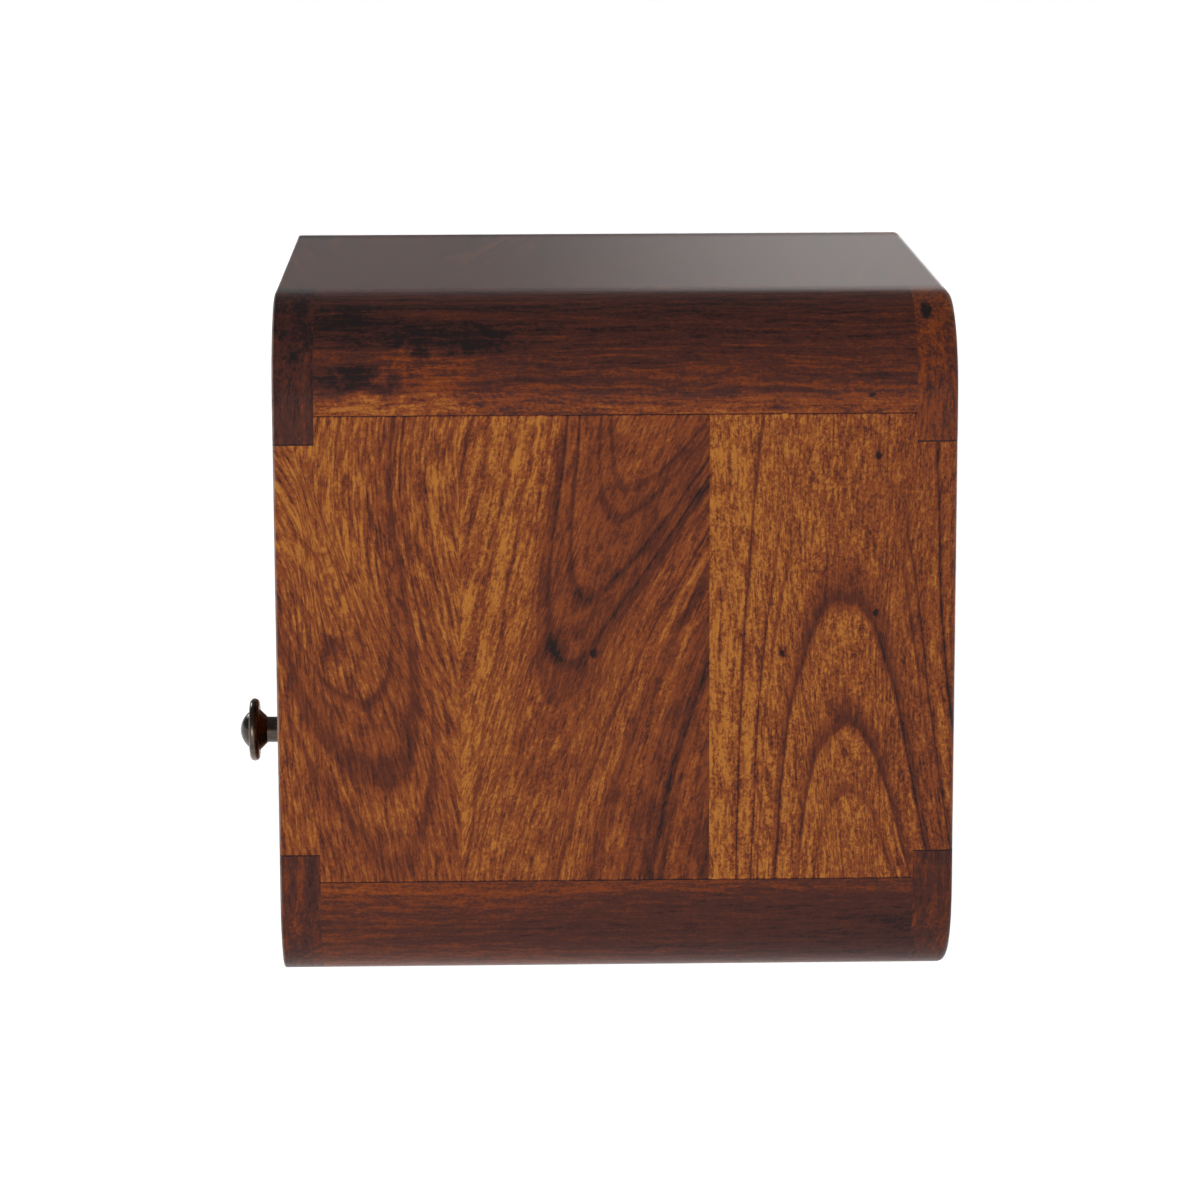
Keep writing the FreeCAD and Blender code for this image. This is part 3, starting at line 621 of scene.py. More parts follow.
@dataclass(frozen=True)
class WoodFinish:
    """Colours and gloss of one stained or oiled wood."""

    name: str
    light: Colour
    middle: Colour
    dark: Colour
    line: Colour
    gloss: float = 1.0
    gloss_rough: float = 0.12
    gloss_index: float = 1.2
    pore_depth: float = 0.00004
    # Amount and colour of the pale eased edges: partly rubbed wood, partly a painted glint of light.
    wear_and_glint: float = 0.0
    scuff_and_glint: Colour = (0.25, 0.20, 0.175)
    thin_gloss: float | None = None
    end_grain: float = 0.0

    THINNING: ClassVar[Span] = (0.097, 0.121)
    END_FACING: ClassVar[Span] = (0.6, 0.9)
    SEED_STRIDE: ClassVar[float] = 7.3

    def worn(self, plan: Plan, spot: Socket, colour: Socket) -> Socket:
        """The wood's colour with pale scuffs and a painted glint of light along the eased edges.

        Args:
            plan: Plan of the material.
            spot: Place in the board's frame.
            colour: Colour without the scuffs and the painted glint.

        Returns:
            The colour.
        """
        if not self.wear_and_glint:
            return colour
        # Pale edges: partly rubbed finish, partly a painted glint of light.
        rubbed = plan.add("Group", {"Vector": spot, "Amount": self.wear_and_glint}, node_tree=WORN_AND_GLINTING_EDGES)
        return plan.mix(rubbed.outputs["Wear and glint"], colour, self.scuff_and_glint)

    def lacquer(self, plan: Plan) -> object:
        """Weight of the gloss coat: even, or rubbed thinner from the flat panels to the round corners.

        Args:
            plan: Plan of the material.

        Returns:
            The weight, a number or a socket.
        """
        if self.thin_gloss is None:
            return self.gloss
        sideways = plan.split(plan.add("TexCoord").outputs["Object"])[0]
        return plan.step(plan.math("ABSOLUTE", sideways), *self.THINNING, self.gloss, self.thin_gloss)

    def soaked(self, plan: Plan, lay: Lay, darkness: Socket) -> Socket:
        """The darkness with more on the faces that cut across the grain, where the ends soak up the finish.

        Args:
            plan: Plan of the material.
            lay: How the board lies.
            darkness: Darkness without the ends.

        Returns:
            The darkness.
        """
        if not self.end_grain:
            return darkness
        faced = plan.math("ABSOLUTE", plan.normal()["xyz".index(lay.value[2][1])])
        return plan.math("MULTIPLY_ADD", plan.step(faced, *self.END_FACING), self.end_grain, darkness)

    def material(self, node: str, lay: Lay, cut: Cut) -> Material:
        """The finish on one board.

        Args:
            node: Name of the board's node.
            lay: How the board lies.
            cut: How the board was cut.

        Returns:
            The material.
        """
        made, plan = start_material(f"{node}_{self.name}")
        spot = lay.spot(plan, node)
        terms = dict(zip(PITH_TERMS, (*cut.across, *cut.under, *cut.taper)))
        wires = {"Vector": spot, **terms, "Wobble": cut.wobble, "Seed": cut.seed}
        rings = plan.add("Group", wires, node_tree=GROWTH_RINGS)
        wires = {
            "Vector": spot, **{name: rings.outputs[name] for name in ("Radius", "Fibre", "Lean")},
            "Figure": self.soaked(plan, lay, cut.darkness(plan, spot, rings)),
            **{name: getattr(cut, name.lower()) for name in PATTERNS},
            **{name: getattr(self, name.lower()) for name in ("Light", *TONES)},
            "Seed": cut.seed * self.SEED_STRIDE,
        }
        wood = plan.add("Group", wires, node_tree=FIGURED_WOOD)
        height = {"Height": wood.outputs["Height"], "Distance": self.pore_depth, "Strength": 0.6}
        shader = plan.add(
            "BsdfPrincipled",
            {
                "Base Color": self.worn(plan, spot, wood.outputs["Color"]),
                "Roughness": wood.outputs["Roughness"], "Normal": plan.add("Bump", height).outputs[0],
                "Specular IOR Level": 0.03,
                "Coat Weight": self.lacquer(plan), "Coat Roughness": self.gloss_rough,
                "Coat IOR": self.gloss_index,
            },
        )
        plan.add("OutputMaterial", {"Surface": shader.outputs[0]})
        return made


@dataclass(frozen=True)
class MetalFinish:
    """Colours and polish of one metal."""

    name: str
    base: Colour
    worn: Colour
    rough: float
    rough_range: float
    grain: float
    lacquer: float = 0.0

    PATINA_NOISE: ClassVar[Triple] = (5.0, 0.62, 0.4)
    PATINA_EDGE: ClassVar[Span] = (0.38, 0.66)
    SCRATCH_SCALE: ClassVar[float] = 9.0
    SCRATCH_NOISE: ClassVar[Span] = (3.0, 0.6)
    SCRATCH_ROUGH: ClassVar[Span] = (0.12, -0.06)
    SCRATCH_DEPTH: ClassVar[float] = 0.00003

    def material(self) -> Material:
        """The finish, with cloudy patina and fine scratches.

        Returns:
            The material.
        """
        made, plan = start_material(self.name)
        spot = plan.add("TexCoord").outputs["Object"]
        cloud = plan.noise(spot, self.grain, *self.PATINA_NOISE)
        fine = plan.noise(spot, self.grain * self.SCRATCH_SCALE, *self.SCRATCH_NOISE)
        rough = plan.total(plan.math("MULTIPLY_ADD", cloud, self.rough_range, self.rough),
                           plan.math("MULTIPLY_ADD", fine, *self.SCRATCH_ROUGH))
        height = {"Height": fine, "Distance": self.SCRATCH_DEPTH, "Strength": 0.35}
        shader = plan.add(
            "BsdfPrincipled",
            {
                "Base Color": plan.mix(plan.step(cloud, *self.PATINA_EDGE), self.base, self.worn),
                "Roughness": rough, "Metallic": 1.0, "Normal": plan.add("Bump", height).outputs[0],
                "Coat Weight": self.lacquer, "Coat Roughness": 0.12,
            },
        )
        plan.add("OutputMaterial", {"Surface": shader.outputs[0]})
        return made


# Its pale eased edges are partly rubbed finish and partly a painted glint of light.
CHESTNUT = WoodFinish(
    "chestnut_stain", light=(0.385, 0.140, 0.022), middle=(0.190, 0.044, 0.011), dark=(0.080, 0.018, 0.008),
    line=(0.012, 0.006, 0.005), wear_and_glint=0.85,
)
TOP_STAIN = replace(CHESTNUT, name="chestnut_top_stain", thin_gloss=0.5)
RAIL_STAIN = replace(
    CHESTNUT, name="dark_stain", light=(0.34, 0.115, 0.024), middle=(0.175, 0.041, 0.013),
    dark=(0.062, 0.021, 0.0160), line=(0.018, 0.012, 0.012), thin_gloss=0.5,
)
CORNER_STAINS: dict[str, WoodFinish] = {
    "top": RAIL_STAIN,
    "bottom": replace(RAIL_STAIN, name="dark_low_stain", thin_gloss=0.3),
}
DRAWER_OIL = WoodFinish(
    "oiled_hardwood", light=(0.62, 0.38, 0.18), middle=(0.44, 0.235, 0.095), dark=(0.27, 0.13, 0.05),
    line=(0.10, 0.04, 0.02), gloss=0.25, gloss_rough=0.3, end_grain=0.36,
)
BARE_BEECH = WoodFinish(
    "bare_hardwood", light=(0.70, 0.52, 0.33), middle=(0.55, 0.36, 0.20), dark=(0.42, 0.25, 0.13),
    line=(0.25, 0.14, 0.07), gloss=0.0, gloss_rough=0.5,
)
BACK_STAIN = WoodFinish(
    "stained_panel", light=(0.40, 0.20, 0.085), middle=(0.28, 0.125, 0.05), dark=(0.16, 0.062, 0.025),
    line=(0.04, 0.015, 0.008), gloss=0.2, gloss_rough=0.35,
)
ANTIQUE_BRONZE = MetalFinish(
    "antique_bronze", (0.055, 0.043, 0.035), (0.130, 0.094, 0.068), 0.18, 0.16, 90.0, lacquer=0.3
)
PLATED_STEEL = MetalFinish("plated_steel", (0.46, 0.46, 0.47), (0.62, 0.62, 0.63), 0.24, 0.2, 220.0)


@dataclass
class Piece:
    """One CAD node with the finish it gets."""

    node: str
    finish: WoodFinish
    lay: Lay
    cut: Cut

    def dress(self) -> None:
        """Put the finish on the node's object."""
        paint(self.node, self.finish.material(self.node, self.lay, self.cut))


def paint(node: str, material: Material) -> None:
    """Give a CAD node's object one material in its first slot.

    Args:
        node: Name of the node.
        material: Material that it gets.
    """
    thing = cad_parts[node]
    if thing.material_slots:
        thing.material_slots[0].material = material
    else:
        thing.data.materials.append(material)
    log.info("%s: %s", node, material.name)


class Head(Enum):
    """Shapes of a screw's head."""

    COUNTERSUNK = "countersunk"
    CHEESE = "cheese"


def lathe_faces(stations: int, around: int, start: int) -> list[list[int]]:
    """Outward faces of a grid of stations by angles that is closed by a pole at each end.

    Args:
        stations: Number of rows of the grid.
        around: Number of angles in each row.
        start: Number of the grid's first point; the two poles follow the grid.

    Returns:
        The faces, as lists of point numbers.
    """
    number = start + np.arange(stations * around).reshape(stations, around)
    after = np.roll(number, -1, axis=1)
    quads = np.stack([number[:-1], after[:-1], after[1:], number[1:]], axis=-1).reshape(-1, 4)
    poles = start + stations * around + np.arange(2)
    first = np.stack([np.full(around, poles[0]), after[0], number[0]], axis=-1)
    last = np.stack([np.full(around, poles[1]), number[-1], after[-1]], axis=-1)
    return quads.tolist() + first.tolist() + last.tolist()


@dataclass(frozen=True)
class Screw:
    """Sizes of one kind of cross-slotted screw, in metres."""

    head: Head
    head_radius: float
    head_depth: float
    shank_radius: float
    length: float
    pitch: float
    slot_reach: float
    slot_half: float
    slot_depth: float
    rim: float = 0.0001
    wall: float = 0.00018
    neck: float = 0.15
    around: int = 96
    face_rows: int = 24
    turn_rows: int = 5

    def profile(self) -> tuple[np.ndarray, np.ndarray]:
        """Radius and depth from the rim of the head's face to the end of the shank, with a pointed tip.

        Returns:
            The radii and the depths.
        """
        slope = (self.head_radius - self.shank_radius) / self.head_depth
        if self.head is Head.COUNTERSUNK:
            rim = [(self.head_radius - slope * self.rim, self.rim)]
        else:
            rim = [(self.head_radius, 2.0 * self.rim), (self.head_radius, self.head_depth)]
        rows = 2 + int(self.turn_rows * (self.length - self.head_depth) / self.pitch)
        depth = np.linspace(self.head_depth, self.length, rows)
        point = np.clip((self.length - depth) / (2.0 * self.shank_radius), 0.12, 1.0)
        if self.head is Head.CHEESE:
            point = np.clip(2.0 * point, 0.8, 1.0)
        edge = np.array(rim)
        return np.concatenate([edge[:, 0], self.shank_radius * point]), np.concatenate([edge[:, 1], depth])

    def slot(self, x: np.ndarray, y: np.ndarray) -> np.ndarray:
        """Depth of the cross slot: the deeper of two crossed bars, which have sloping walls and ends.

        Args:
            x: Places along the first bar.
            y: Places along the second bar.

        Returns:
            The depth at each place.
        """
        def bar(along: np.ndarray, across: np.ndarray) -> np.ndarray:
            """Share of the full depth of one bar."""
            inside = np.clip((self.slot_half - np.abs(across)) / self.wall + 0.5, 0.0, 1.0)
            return inside * np.clip((self.slot_reach - np.abs(along)) / (3.0 * self.wall) + 0.5, 0.0, 1.0)

        return self.slot_depth * np.maximum(bar(x, y), bar(y, x))

    def points(self, spot: Triple, ahead: Triple, turn: float) -> np.ndarray:
        """Points of one screw: a profile turned about the axis, row by row, then the two poles.

        The face's rows have radius 0 to the rim and the slot's depth. On the shank the radius falls by the
        thread, an eighth of the shank times the triangle wave of angle / 2 pi - depth / pitch.

        Args:
            spot: Middle of the head's face.
            ahead: Direction in which the screw goes in.
            turn: Angle at which the slot stands.

        Returns:
            The points, one in each row.
        """
        angle = np.linspace(0.0, 2.0 * math.pi, self.around, endpoint=False)
        face = np.linspace(0.0, self.head_radius - 2.0 * self.rim, self.face_rows + 1)[1:, None]
        radius, depth = (values[:, None] for values in self.profile())
        wave = np.abs(2.0 * ((angle / (2.0 * math.pi) - depth / self.pitch) % 1.0) - 1.0)
        bare = self.head_depth + self.neck * (self.length - self.head_depth)
        thread = 0.125 * self.shank_radius * wave * np.clip((depth - bare) / self.pitch, 0.0, 1.0)
        radii = np.concatenate([face + 0.0 * angle, radius - thread])
        sunk = self.slot(face * np.cos(angle), face * np.sin(angle))
        depths = np.concatenate([sunk, depth + 0.0 * angle])
        axis = np.array(ahead)
        side = np.array((0.0, 0.0, 1.0))
        other = np.cross(axis, side)
        around = np.cos(angle + turn)[:, None] * side + np.sin(angle + turn)[:, None] * other
        grid = np.array(spot) + radii[..., None] * around + depths[..., None] * axis
        poles = np.array(spot) + np.array([[self.slot_depth], [self.length]]) * axis
        return np.concatenate([grid.reshape(-1, 3), poles])


@dataclass
class ScrewSet:
    """The screws of one node, which stand for its plain pins."""

    node: str
    body: str
    screw: Screw
    places: tuple[tuple[Triple, Triple], ...]
    slot_start: float = 0.5
    slot_turn: float = 2.4
    sharp_degrees: float = 32.0

    def build(self) -> None:
        """Make the screws as one mesh of closed shells, each turned by its own angle, and dress it."""
        shells = [
            self.screw.points(spot, ahead, self.slot_turn * number + self.slot_start)
            for number, (spot, ahead) in enumerate(self.places)
        ]
        stations = (len(shells[0]) - 2) // self.screw.around
        faces = []
        for number, shell in enumerate(shells):
            faces += lathe_faces(stations, self.screw.around, number * len(shell))
        name = f"{self.node}_cross_slotted"
        mesh = bpy.data.meshes.new(name)
        mesh.from_pydata(np.concatenate(shells).tolist(), [], faces)
        mesh.polygons.foreach_set("use_smooth", np.ones(len(faces), dtype=bool))
        mesh.set_sharp_from_angle(angle=math.radians(self.sharp_degrees))
        mesh.materials.append(PLATED_STEEL.material())
        thing = place(name, mesh)
        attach(thing, self.body)
        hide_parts(self.node)
        log.info("%s: %d screws, %d faces", name, len(shells), len(faces))


ENDS = ("front", "rear")
LEVELS = ("top", "bottom")
SIDES = ("right", "left")
SIDE_SEAMS = (104.0, -106.0)
FLAT_SEAMS = (111.0, -111.0)

FRONT_FIGURE = Cut(
    across=(-268.85, -22.4, -3.01), under=(30.63, -60.0, 30.0), taper=(-34.44, 39.29),
    rings=((-10.0, 0.36), (2.0, 0.38), (8.0, 0.42), (14.0, 0.34), (17.6, 0.38), (18.1, 0.58), (18.9, 0.38),
           (23.5, 0.36), (24.0, 0.60), (24.9, 0.40), (29.5, 0.40), (30.0, 0.60), (30.9, 0.44), (35.5, 0.44),
           (36.0, 0.78), (36.9, 0.50), (38.0, 0.50), (38.4, 0.66), (38.9, 0.50), (40.3, 0.56), (41.2, 0.74),
           (43.0, 0.70), (43.6, 0.46), (45.7, 0.44), (46.3, 0.68), (47.3, 0.46), (58.0, 0.42), (70.0, 0.44)),
    drift=-0.0005, streak=0.34, fleck=0.68, mottle=0.36, pore=0.22, blotch=0.16, seed=3.1,
    seams=SIDE_SEAMS,
    marks=((-276.0, 1.0, 4.5, 0.3),),
)
MIDDLE_FIGURE = Cut(
    across=(-170.0, 32.57, 5.74), under=(36.65, -9.71, 4.66), taper=(3.59, 9.71),
    rings=((23.9, 0.54), (24.4, 0.92), (25.1, 0.64), (26.8, 0.62), (27.2, 0.94), (27.9, 0.64), (32.6, 0.60),
           (33.2, 0.94), (34.1, 0.66), (36.8, 0.64), (37.4, 0.96), (38.3, 0.72), (39.8, 0.70), (40.2, 0.48),
           (41.0, 0.62), (41.6, 0.44), (43.0, 0.56), (43.6, 0.42), (48.4, 0.44), (48.9, 0.74), (49.6, 0.38),
           (53.5, 0.36), (56.8, 0.62), (60.5, 0.36), (63.0, 0.38), (67.0, 0.62), (70.0, 0.48), (73.6, 0.70),
           (74.3, 0.92), (75.2, 0.60), (81.0, 0.32), (90.0, 0.54)),
    slant=0.0024, streak=0.34, fleck=0.52, mottle=0.48, pore=0.20, blotch=0.18, seed=8.4,
    seams=SIDE_SEAMS,
    marks=((-160.0, -2.5, 1.8, 0.5), (-176.5, 0.5, 5.0, 0.25)),
)
REAR_FIGURE = Cut(
    across=(-49.43, -1.18, 3.09), under=(38.7, 30.69, 4.49), taper=(15.01, 9.37),
    rings=((18.0, 0.44), (24.0, 0.36), (26.0, 0.38), (26.5, 0.64), (27.6, 0.46), (28.8, 0.38), (31.6, 0.42),
           (32.3, 0.40), (32.8, 0.90), (33.8, 0.62), (35.6, 0.42), (40.6, 0.38), (41.4, 0.40), (41.9, 0.90),
           (43.0, 0.68), (45.2, 0.42), (49.2, 0.38), (49.7, 0.86), (50.4, 0.42), (51.8, 0.42), (52.3, 0.84),
           (52.9, 0.40), (58.3, 0.38), (58.9, 0.92), (59.6, 0.38), (70.0, 0.42)),
    open_from=46.5, slant=0.0026, streak=0.36, fleck=0.50, mottle=0.62, pore=0.22, blotch=0.18, seed=5.7,
    seams=SIDE_SEAMS,
    marks=((-35.0, 85.0, 1.6, 0.65), (-35.5, 15.0, 1.4, 0.65), (-77.0, -3.0, 1.7, 0.7),
           (-76.0, 103.5, 1.5, -0.8)),
)
TOP_RAIL = Cut(
    across=(4.0, 0.0, 0.0), under=(0.0, 0.0, 0.0),
    rings=((4.0, 0.60), (6.0, 0.62), (7.0, 0.46), (11.0, 0.56), (15.0, 0.68), (20.0, 0.74), (26.0, 0.78),
           (30.0, 0.74), (36.0, 0.80), (46.0, 0.85), (60.0, 0.86), (74.0, 0.81)),
    drift=-0.0002, wobble=0.8, streak=0.26, fleck=0.52, mottle=0.52, pore=0.10, seed=1.9,
    stains=((47.0, -120.0, 8.0, 25.0, 0.26), (41.0, -84.0, 11.0, 20.0, 0.28), (39.0, -56.0, 8.0, 18.0, 0.22),
            (21.0, -115.0, 7.0, 19.0, 0.28), (8.0, -100.0, 6.0, 38.0, -0.36),
            (25.0, -86.0, 10.0, 22.0, -0.28), (14.0, -70.0, 5.0, 24.0, -0.16),
            (14.0, 112.0, 5.0, 9.0, -0.16)),
    marks=((-10.0, 112.0, 1.3, 0.55),),
)
BOTTOM_RAIL = replace(
    TOP_RAIL, across=(202.0, 0.0, 0.0), seed=4.6, drift=0.0008, stains=(), marks=(), streak=0.16, fleck=0.42,
    mottle=0.42,
    rings=((4.0, 0.62), (7.0, 0.62), (9.0, 0.60), (14.0, 0.74), (26.0, 0.82), (40.0, 0.80), (52.0, 0.70),
           (60.0, 0.60), (74.0, 0.56)),
)
END_BLOCK = Cut(
    across=(60.0, 4.0, 0.0), under=(20.0, 0.0, 0.0), wobble=0.6, streak=0.16, fleck=0.50, mottle=0.52,
    pore=0.16, blotch=0.16,
)


def even(shade: float) -> Stops:
    """Rings of one shade all through."""
    return (-10.0, shade), (110.0, shade)


BLOCK_SHADES: dict[str, Cut] = {
    "front_top": replace(END_BLOCK, rings=even(0.58), drift=0.0026, seams=(91.0,)),
    "front_bottom": replace(END_BLOCK, rings=even(0.76), seams=(-93.0,)),
    "rear_top": replace(END_BLOCK, rings=even(0.61), seams=(91.0,), marks=((-13.0, 146.5, 2.4, 0.7),)),
    "rear_bottom": replace(END_BLOCK, rings=even(0.78), seams=(-93.0,), marks=((-5.0, -90.0, 2.0, 0.7),)),
}
INNER_CUT = Cut(
    across=(8.0, 9.0, 3.0), under=(34.0, 14.0, 5.0),
    rings=tuple((ring + step, shade) for ring in range(6, 100, 11)
                for step, shade in ((0.0, 0.3), (2.4, 0.6))),
    wobble=0.9, streak=0.25, fleck=0.16, mottle=0.1, pore=0.12, seed=6.3,
)
PLAIN_CUT = replace(INNER_CUT, rings=((-10.0, 0.35), (30.0, 0.4), (50.0, 0.3), (80.0, 0.42), (110.0, 0.35)))
PANEL_CUT = Cut(
    across=(12.0, 9.0, 3.0), under=(30.0, 18.0, 4.0), taper=(6.0, 0.0),
    rings=((10.0, 0.40), (24.0, 0.35), (26.0, 0.60), (28.0, 0.36), (38.0, 0.34), (40.0, 0.56), (43.0, 0.36),
           (56.0, 0.34), (58.0, 0.55), (61.0, 0.36), (75.0, 0.36), (77.0, 0.55), (80.0, 0.38), (88.0, 0.36),
           (90.0, 0.56), (92.0, 0.36), (108.0, 0.40)),
    seed=44.0,
)


@dataclass
class Carcass:
    """Side, top and bottom panels of three boards, joined by round corner rails with end blocks."""

    board_middles: dict[str, float] = field(
        default_factory=lambda: {"front": -259.5, "middle": -164.0, "rear": -54.5}
    )
    figures: dict[str, Cut] = field(
        default_factory=lambda: {"front": FRONT_FIGURE, "middle": MIDDLE_FIGURE, "rear": REAR_FIGURE}
    )
    top_tones: Span = (0.64, 0.28)
    left_seed: float = 11.0
    top_seed: float = 21.0
    bottom_seed: float = 31.0
    far_rail_seed: float = 13.0
    block_seeds: Span = (2.2, 3.7)

    def borrowed(self, source: str, target: str, seed: float, over: bool, **changes: object) -> Cut:
        """The source board's figure moved to the target's place, turned end for end or not, and changed."""
        shift = self.board_middles[target] - self.board_middles[source]
        return self.figures[source].moved(shift, seed, over, **changes)

    def boards(self) -> Iterable[Piece]:
        """The panels' boards: the right side's own figures, which the other panels borrow, moved and turned.

        Returns:
            The boards.
        """
        for run, cut in self.figures.items():
            yield Piece(f"right_side_{run}_board", CHESTNUT, Lay.RIGHT_SIDE, cut)
        for number, (target, source) in enumerate(zip(self.figures, reversed(self.figures))):
            left = self.borrowed(source, target, self.left_seed + number, True)
            yield Piece(f"left_side_{target}_board", CHESTNUT, Lay.LEFT_SIDE, left)
            flat = {"seams": FLAT_SEAMS, "marks": ()}
            start, share = self.top_tones
            dim = tuple((ring, start + share * darkness) for ring, darkness in self.figures[source].rings)
            calm = {"slant": 0.0, "drift": 0.0, "fleck": 0.25, "mottle": 0.2, "open_from": None}
            changes = {"rings": dim, **calm, **flat}
            top = self.borrowed(source, target, self.top_seed + number, number == 1, **changes)
            yield Piece(f"top_{target}_board", TOP_STAIN, Lay.TOP, top)
            soft = {"fleck": 0.36, "mottle": 0.26}
            bottom = self.borrowed(source, target, self.bottom_seed + number, number != 1, **soft, **flat)
            yield Piece(f"bottom_{target}_board", CHESTNUT, Lay.BOTTOM, bottom)

    def corners(self) -> Iterable[Piece]:
        """The corner rails and their end blocks.

        Returns:
            The rails and the blocks.
        """
        rails = {"top": TOP_RAIL, "bottom": BOTTOM_RAIL}
        for level, side in product(LEVELS, SIDES):
            cut, lay = rails[level], Lay.RIGHT_RAIL
            if side == "left":
                cut = replace(cut, seed=cut.seed + self.far_rail_seed, stains=(), marks=())
                lay = Lay.LEFT_RAIL
            yield Piece(f"{level}_{side}_corner_rail", CORNER_STAINS[level], lay, cut)
        start, stride = self.block_seeds
        for number, (end, level, side) in enumerate(product(ENDS, LEVELS, SIDES)):
            lay = Lay.RIGHT_SIDE if side == "right" else Lay.LEFT_SIDE
            cut = replace(BLOCK_SHADES[f"{end}_{level}"], seed=start + stride * number)
            yield Piece(f"{end}_{level}_{side}_end_block", CORNER_STAINS[level], lay, cut)

    def build(self) -> None:
        """Nothing to make: the solids have the walls' shapes."""

    def dress(self) -> None:
        """Finish the walls, and the hidden tongues and dowels."""
        for piece in (*self.boards(), *self.corners()):
            piece.dress()
        for level, side in product(LEVELS, SIDES):
            Piece(f"{level}_{side}_tongues", BARE_BEECH, Lay.LENGTHWISE, INNER_CUT).dress()
        Piece("end_block_dowels", BARE_BEECH, Lay.LENGTHWISE, INNER_CUT).dress()


@dataclass
class Inside:
    """The shelf over the drawer, the back panel, the hanging rail and the runners."""

    shelf_figure: Cut = field(
        default_factory=lambda: MIDDLE_FIGURE.moved(
            14.0, 41.0, marks=(), seams=(), slant=0.001, fleck=0.36, mottle=0.3
        )
    )
    hanger_screw: Screw = Screw(
        Head.COUNTERSUNK, 0.0028, 0.0022, 0.0015, 0.014, 0.0012, slot_reach=0.0016, slot_half=0.0004,
        slot_depth=0.0012,
    )
    runner_screw: Screw = Screw(
        Head.COUNTERSUNK, 0.0034, 0.0022, 0.00175, 0.030, 0.0020, slot_reach=0.0020, slot_half=0.00048,
        slot_depth=0.0014,
    )
    runner_face: float = 0.1225
    runner_height: float = -0.18315
    runner_rows: tuple[float, ...] = (-0.24576, -0.150, -0.05424)
    hanger_middle: float = 0.100
    hanger_rows: tuple[float, ...] = (-0.0095, 0.0255)
    runner_seeds: tuple[tuple[str, float], ...] = (("right", 14.0), ("left", 13.0))

    def build(self) -> None:
        """Make the screws of the hanger plates and the runners."""
        hung = tuple(
            ((side * self.hanger_middle, 0.0, height), (0.0, -1.0, 0.0))
            for side in (1.0, -1.0) for height in self.hanger_rows
        )
        ScrewSet("hanger_plate_screws", "carcass", self.hanger_screw, hung).build()
        run = tuple(
            ((side * self.runner_face, row, self.runner_height), (side, 0.0, 0.0))
            for side in (1.0, -1.0) for row in self.runner_rows
        )
        ScrewSet("runner_screws", "carcass", self.runner_screw, run).build()

    def dress(self) -> None:
        """Finish each piece."""
        for node, finish, lay, cut in (
            ("divider_shelf", CHESTNUT, Lay.SHELF, self.shelf_figure),
            ("back_panel", BACK_STAIN, Lay.PANEL, PANEL_CUT),
            ("hanging_rail", BARE_BEECH, Lay.FRONT, INNER_CUT),
            ("hanging_rail_dowels", BARE_BEECH, Lay.FRONT, PLAIN_CUT),
            ("drawer_stop_block", BARE_BEECH, Lay.FRONT, PLAIN_CUT),
            ("stop_block_dowels", BARE_BEECH, Lay.LENGTHWISE, PLAIN_CUT),
        ):
            Piece(node, finish, lay, cut).dress()
        for side, seed in self.runner_seeds:
            Piece(f"{side}_runner", BARE_BEECH, Lay.LENGTHWISE, replace(PLAIN_CUT, seed=seed)).dress()
        steel = PLATED_STEEL.material()
        for side in SIDES:
            paint(f"{side}_hanger_plate", steel)


@dataclass
class Drawer:
    """The dovetailed drawer box with its face and turned knob."""

    face_figure: Cut = field(
        default_factory=lambda: MIDDLE_FIGURE.moved(164.0, 51.0, over=True, seams=(), slant=0.001)
    )
    face_screw: Screw = Screw(
        Head.COUNTERSUNK, 0.0034, 0.0022, 0.00175, 0.025, 0.0018, slot_reach=0.0020, slot_half=0.00048,
        slot_depth=0.0014,
    )
    knob_bolt: Screw = Screw(
        Head.CHEESE, 0.0040, 0.0026, 0.0020, 0.0416, 0.0007, slot_reach=0.0024, slot_half=0.00055,
        slot_depth=0.0017,
    )
    screw_side: float = 0.0777
    screw_back: float = -0.270
    screw_rows: tuple[float, ...] = (-0.1974, -0.15465)
    knob_spot: Triple = (0.0, -0.2664, -0.1736)

    def build(self) -> None:
        """Make the screws of the face and the knob's bolt."""
        ahead = (0.0, -1.0, 0.0)
        held = tuple(
            ((side * self.screw_side, self.screw_back, row), ahead)
            for side in (1.0, -1.0) for row in self.screw_rows
        )
        ScrewSet("drawer_face_screws", "drawer", self.face_screw, held).build()
        ScrewSet("knob_screw", "drawer", self.knob_bolt, ((self.knob_spot, ahead),)).build()

    def dress(self) -> None:
        """Finish each piece."""
        for node, finish, lay, cut in (
            ("drawer_face", CHESTNUT, Lay.FRONT, self.face_figure),
            ("drawer_front", DRAWER_OIL, Lay.FRONT, replace(INNER_CUT, seed=14.0)),
            ("drawer_back", DRAWER_OIL, Lay.FRONT, replace(INNER_CUT, seed=17.0)),
            ("drawer_right_side", DRAWER_OIL, Lay.LENGTHWISE, replace(INNER_CUT, seed=19.0)),
            ("drawer_left_side", DRAWER_OIL, Lay.LENGTHWISE, replace(INNER_CUT, seed=22.0)),
            ("drawer_bottom", BACK_STAIN, Lay.SHELF, replace(PANEL_CUT, seed=27.0)),
        ):
            Piece(node, finish, lay, cut).dress()
        paint("knob_washer", PLATED_STEEL.material())
        paint("knob", ANTIQUE_BRONZE.material())


